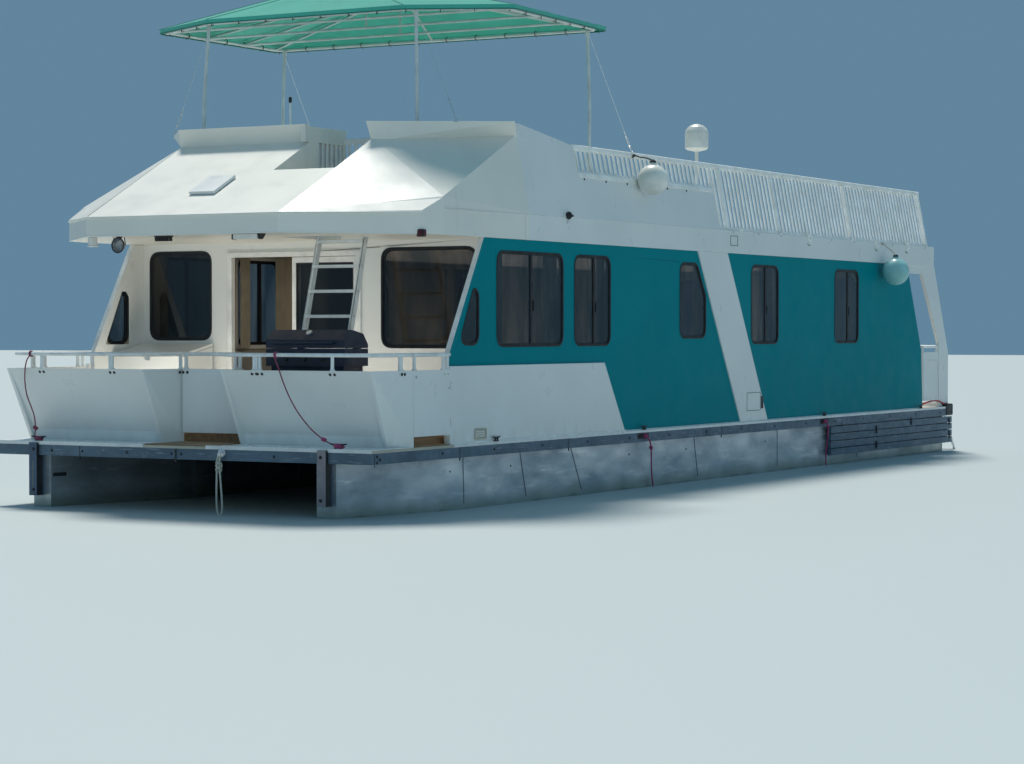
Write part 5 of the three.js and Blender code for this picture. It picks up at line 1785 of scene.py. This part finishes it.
def make_stern_gates():
    gate = Shape()
    for z in (RAIL_Z, 0.64, 0.35, 0.11):
        gate.rod(at(-0.42, STERN_Y, z), at(0.42, STERN_Y, z), 0.0145, 20)
    for x in (-0.42, 0.42):
        gate.upright(x, STERN_Y, (0.094, RAIL_Z + 0.019), 0.0165, 20)
        gate.ball(at(x, STERN_Y, RAIL_Z + 0.020), 0.0175, 16)
    make("stern_gate_tubes", gate, "rail", "gate_stern")
    steel = Shape()
    for z in (0.24, 0.74):
        steel.upright(-0.452, STERN_Y - 0.02, (z - 0.04, z + 0.04), 0.008, 14)
        steel.box((-0.470, -0.434), (STERN_Y - 0.018, STERN_Y + 0.012), (z - 0.02, z + 0.02))
    steel.box((0.425, 0.475), (STERN_Y - 0.030, STERN_Y - 0.022), (0.84, 0.88))
    make("stern_gate_hardware", steel, "steel", bevel=0.001)
    for side, sign in HANDS:
        plane = Plane("side", sign * 2.378, sign)
        panel = rect((15.92, 16.54), (0.12, 0.74))
        ring = plane.ring(Shape(), panel, (0.006, -0.018), (0.03, 0.02), (0.004, -0.001))
        make("side_gate_moulding_" + side, ring, "rail", "gate_stern_side_" + side, 0.002)


def make_swim_ladder_details():
    (y0, z0), (y1, z1) = (17.110, -0.060), (17.740, -0.780)
    pads = Shape()
    for part in (0.2, 0.45, 0.7, 0.95):
        y, z = y0 + (y1 - y0) * part, z0 + (z1 - z0) * part
        pads.box((1.76, 2.22), (y - 0.040, y + 0.040), (z + 0.013, z + 0.018))
    make("swim_ladder_pads", pads, "black", "swim_ladder", 0.001)
    tubes = Shape()
    for x in (1.72, 2.26):
        tubes.ball(at(x, y1, z1), 0.0215, 16)
        tubes.rod(at(x, y0, z0), at(x, y1, z1), 0.0205, 20)
    make("swim_ladder_tubes", tubes, "steel", "swim_ladder")
    brackets = Shape()
    for x in (1.66, 2.32):
        brackets.box((x - 0.012, x + 0.012), (17.072, 17.14), (-0.10, -0.02))
    make("swim_ladder_brackets", brackets, "steel", bevel=0.003)


def blade_section(turn, r, chord, pitch, thick):
    """An aerofoil ring at a radius, its chord turned by the pitch about the blade's own axis."""
    ring = []
    for c, s in circle(16):
        along = chord * 0.5 * c
        across = thick * 0.5 * s * (1.2 - 0.4 * c)
        u = along * math.cos(pitch) - across * math.sin(pitch)
        v = along * math.sin(pitch) + across * math.cos(pitch)
        x = u * math.cos(turn) + r * math.sin(turn)
        z = r * math.cos(turn) - u * math.sin(turn)
        ring.append(Vector((x, 0.050 + v, z)))
    return ring


DRIVE_X = 0.650
PROP_SECTIONS = [
    (0.038, 0.070, 52, 0.020), (0.060, 0.088, 44, 0.015), (0.090, 0.104, 36, 0.011),
    (0.118, 0.104, 30, 0.009), (0.142, 0.084, 26, 0.007), (0.157, 0.054, 24, 0.005),
    (0.164, 0.018, 23, 0.003),
]


def make_propellers():
    hub = [(0, 0), (0.046, 0), (0.046, 0.060), (0.042, 0.090), (0.036, 0.100), (0.030, 0.096), (0, 0.080)]
    for side, sign in HANDS:
        origin = at(sign * DRIVE_X, 17.700, -0.960)
        body = "propeller_" + side
        wheel = Shape().lathe(hub, origin, (0, 1, 0), 36)
        for k in range(4):
            rings = []
            for r, chord, pitch, thick in PROP_SECTIONS:
                ring = blade_section(k * math.pi / 2, r, chord, math.radians(pitch), thick)
                rings.append([origin + Vector((p.x * sign, p.y, p.z)) for p in ring])
            wheel.loft(rings)
        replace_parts(make(body + "_wheel", wheel, "prop", body), body)
        nut = [(0, 0), (0.016, 0), (0.016, 0.012), (0, 0.014)]
        nose = origin + Vector((0, 0.084, 0))
        make(body + "_nut", Shape().lathe(nut, nose, (0, 1, 0), 6), "steel", body)


def make_drive_details():
    for side, sign in HANDS:
        x = sign * DRIVE_X
        body = "drive_leg_" + side
        details = Shape().box((x - 0.004, x + 0.004), (17.62, 17.72), (-0.830, -0.772))
        for z in (-0.42, -0.47, -0.52):
            details.box((x - 0.048, x + 0.048), (17.40, 17.52), (z - 0.006, z + 0.006))
        make(body + "_grille", details, "dull", body, 0.001)
        ram = Shape()
        for u in (x - 0.058, x + 0.058):
            ram.rod(at(u, 17.275, -0.27), at(u, 17.44, -0.36), 0.012, 16)
        make(body + "_rams", ram, "steel", body)
    pod = Shape()
    for y in (15.9, 16.4, 16.9):
        for sign in SIGNS:
            pod.box((sign * 1.100, sign * 1.108), (y - 0.02, y + 0.02), (-0.60, -0.16))
    make("engine_pod_ribs", pod, "dull", bevel=0.002)


make_fenders()
for side, sign in HANDS:
    make_side_fittings(side, sign)
    make_beam_cleats(side, sign)
make_side_hitches()
make_side_hose()
make_pontoon_seams()
make_stern_rail()
make_stern_gates()
make_swim_ladder_details()
make_propellers()
make_drive_details()


# Plain pale floor at the waterline, a soft sun from above, aft and to starboard, and a cool surround.
def make_stage():
    floor = bpy.data.meshes.new("floor")
    reach = 160.0
    corners = [(x * reach, y * reach, DECK_Z + WATER) for x, y in ((-1, -1), (1, -1), (1, 1), (-1, 1))]
    floor.from_pydata(corners, [], [(0, 1, 2, 3)])
    obj = bpy.data.objects.new("floor", floor)
    bpy.context.scene.collection.objects.link(obj)
    paint = Paint("floor_paint", (0.50, 0.56, 0.56), 0.6)
    floor.materials.append(paint.material)


def area_light(name, place, target, size, power, colour):
    light = bpy.data.lights.new(name, "AREA")
    light.shape = "RECTANGLE"
    light.size, light.size_y = size
    light.energy = power
    light.color = colour
    obj = bpy.data.objects.new(name, light)
    obj.location = place
    obj.rotation_euler = (Vector(target) - Vector(place)).to_track_quat("-Z", "Y").to_euler()
    obj.visible_camera = False
    obj.visible_glossy = False
    bpy.context.scene.collection.objects.link(obj)


def make_lights():
    sun = bpy.data.lights.new("sun", "SUN")
    sun.energy = 3.2
    sun.angle = math.radians(14)
    sun.color = (1.0, 0.96, 0.89)
    obj = bpy.data.objects.new("sun", sun)
    obj.rotation_euler = Vector((0.34, -0.40, -1.0)).to_track_quat("-Z", "Y").to_euler()
    bpy.context.scene.collection.objects.link(obj)
    area_light("fill", (34, -30, 10), (0, -2, 2), (30, 12), 1200, (0.62, 0.88, 1.0))
    area_light("deck_bounce", at(-0.1, 1.30, 0.22), at(0.0, 2.5, 1.3), (3.8, 0.24), 27, (1.0, 0.93, 0.80))
    area_light("cabin_light", at(0, 8.5, 2.12), at(0, 8.5, 0), (3.6, 12), 34, (1.0, 0.90, 0.76))
    world = bpy.data.worlds.new("surround")
    bpy.context.scene.world = world
    world.use_nodes = True
    background = world.node_tree.nodes["Background"]
    background.inputs["Color"].default_value = (0.29, 0.56, 0.80, 1)
    background.inputs["Strength"].default_value = 0.42
    bpy.context.scene.view_settings.view_transform = "Standard"


make_stage()
make_lights()
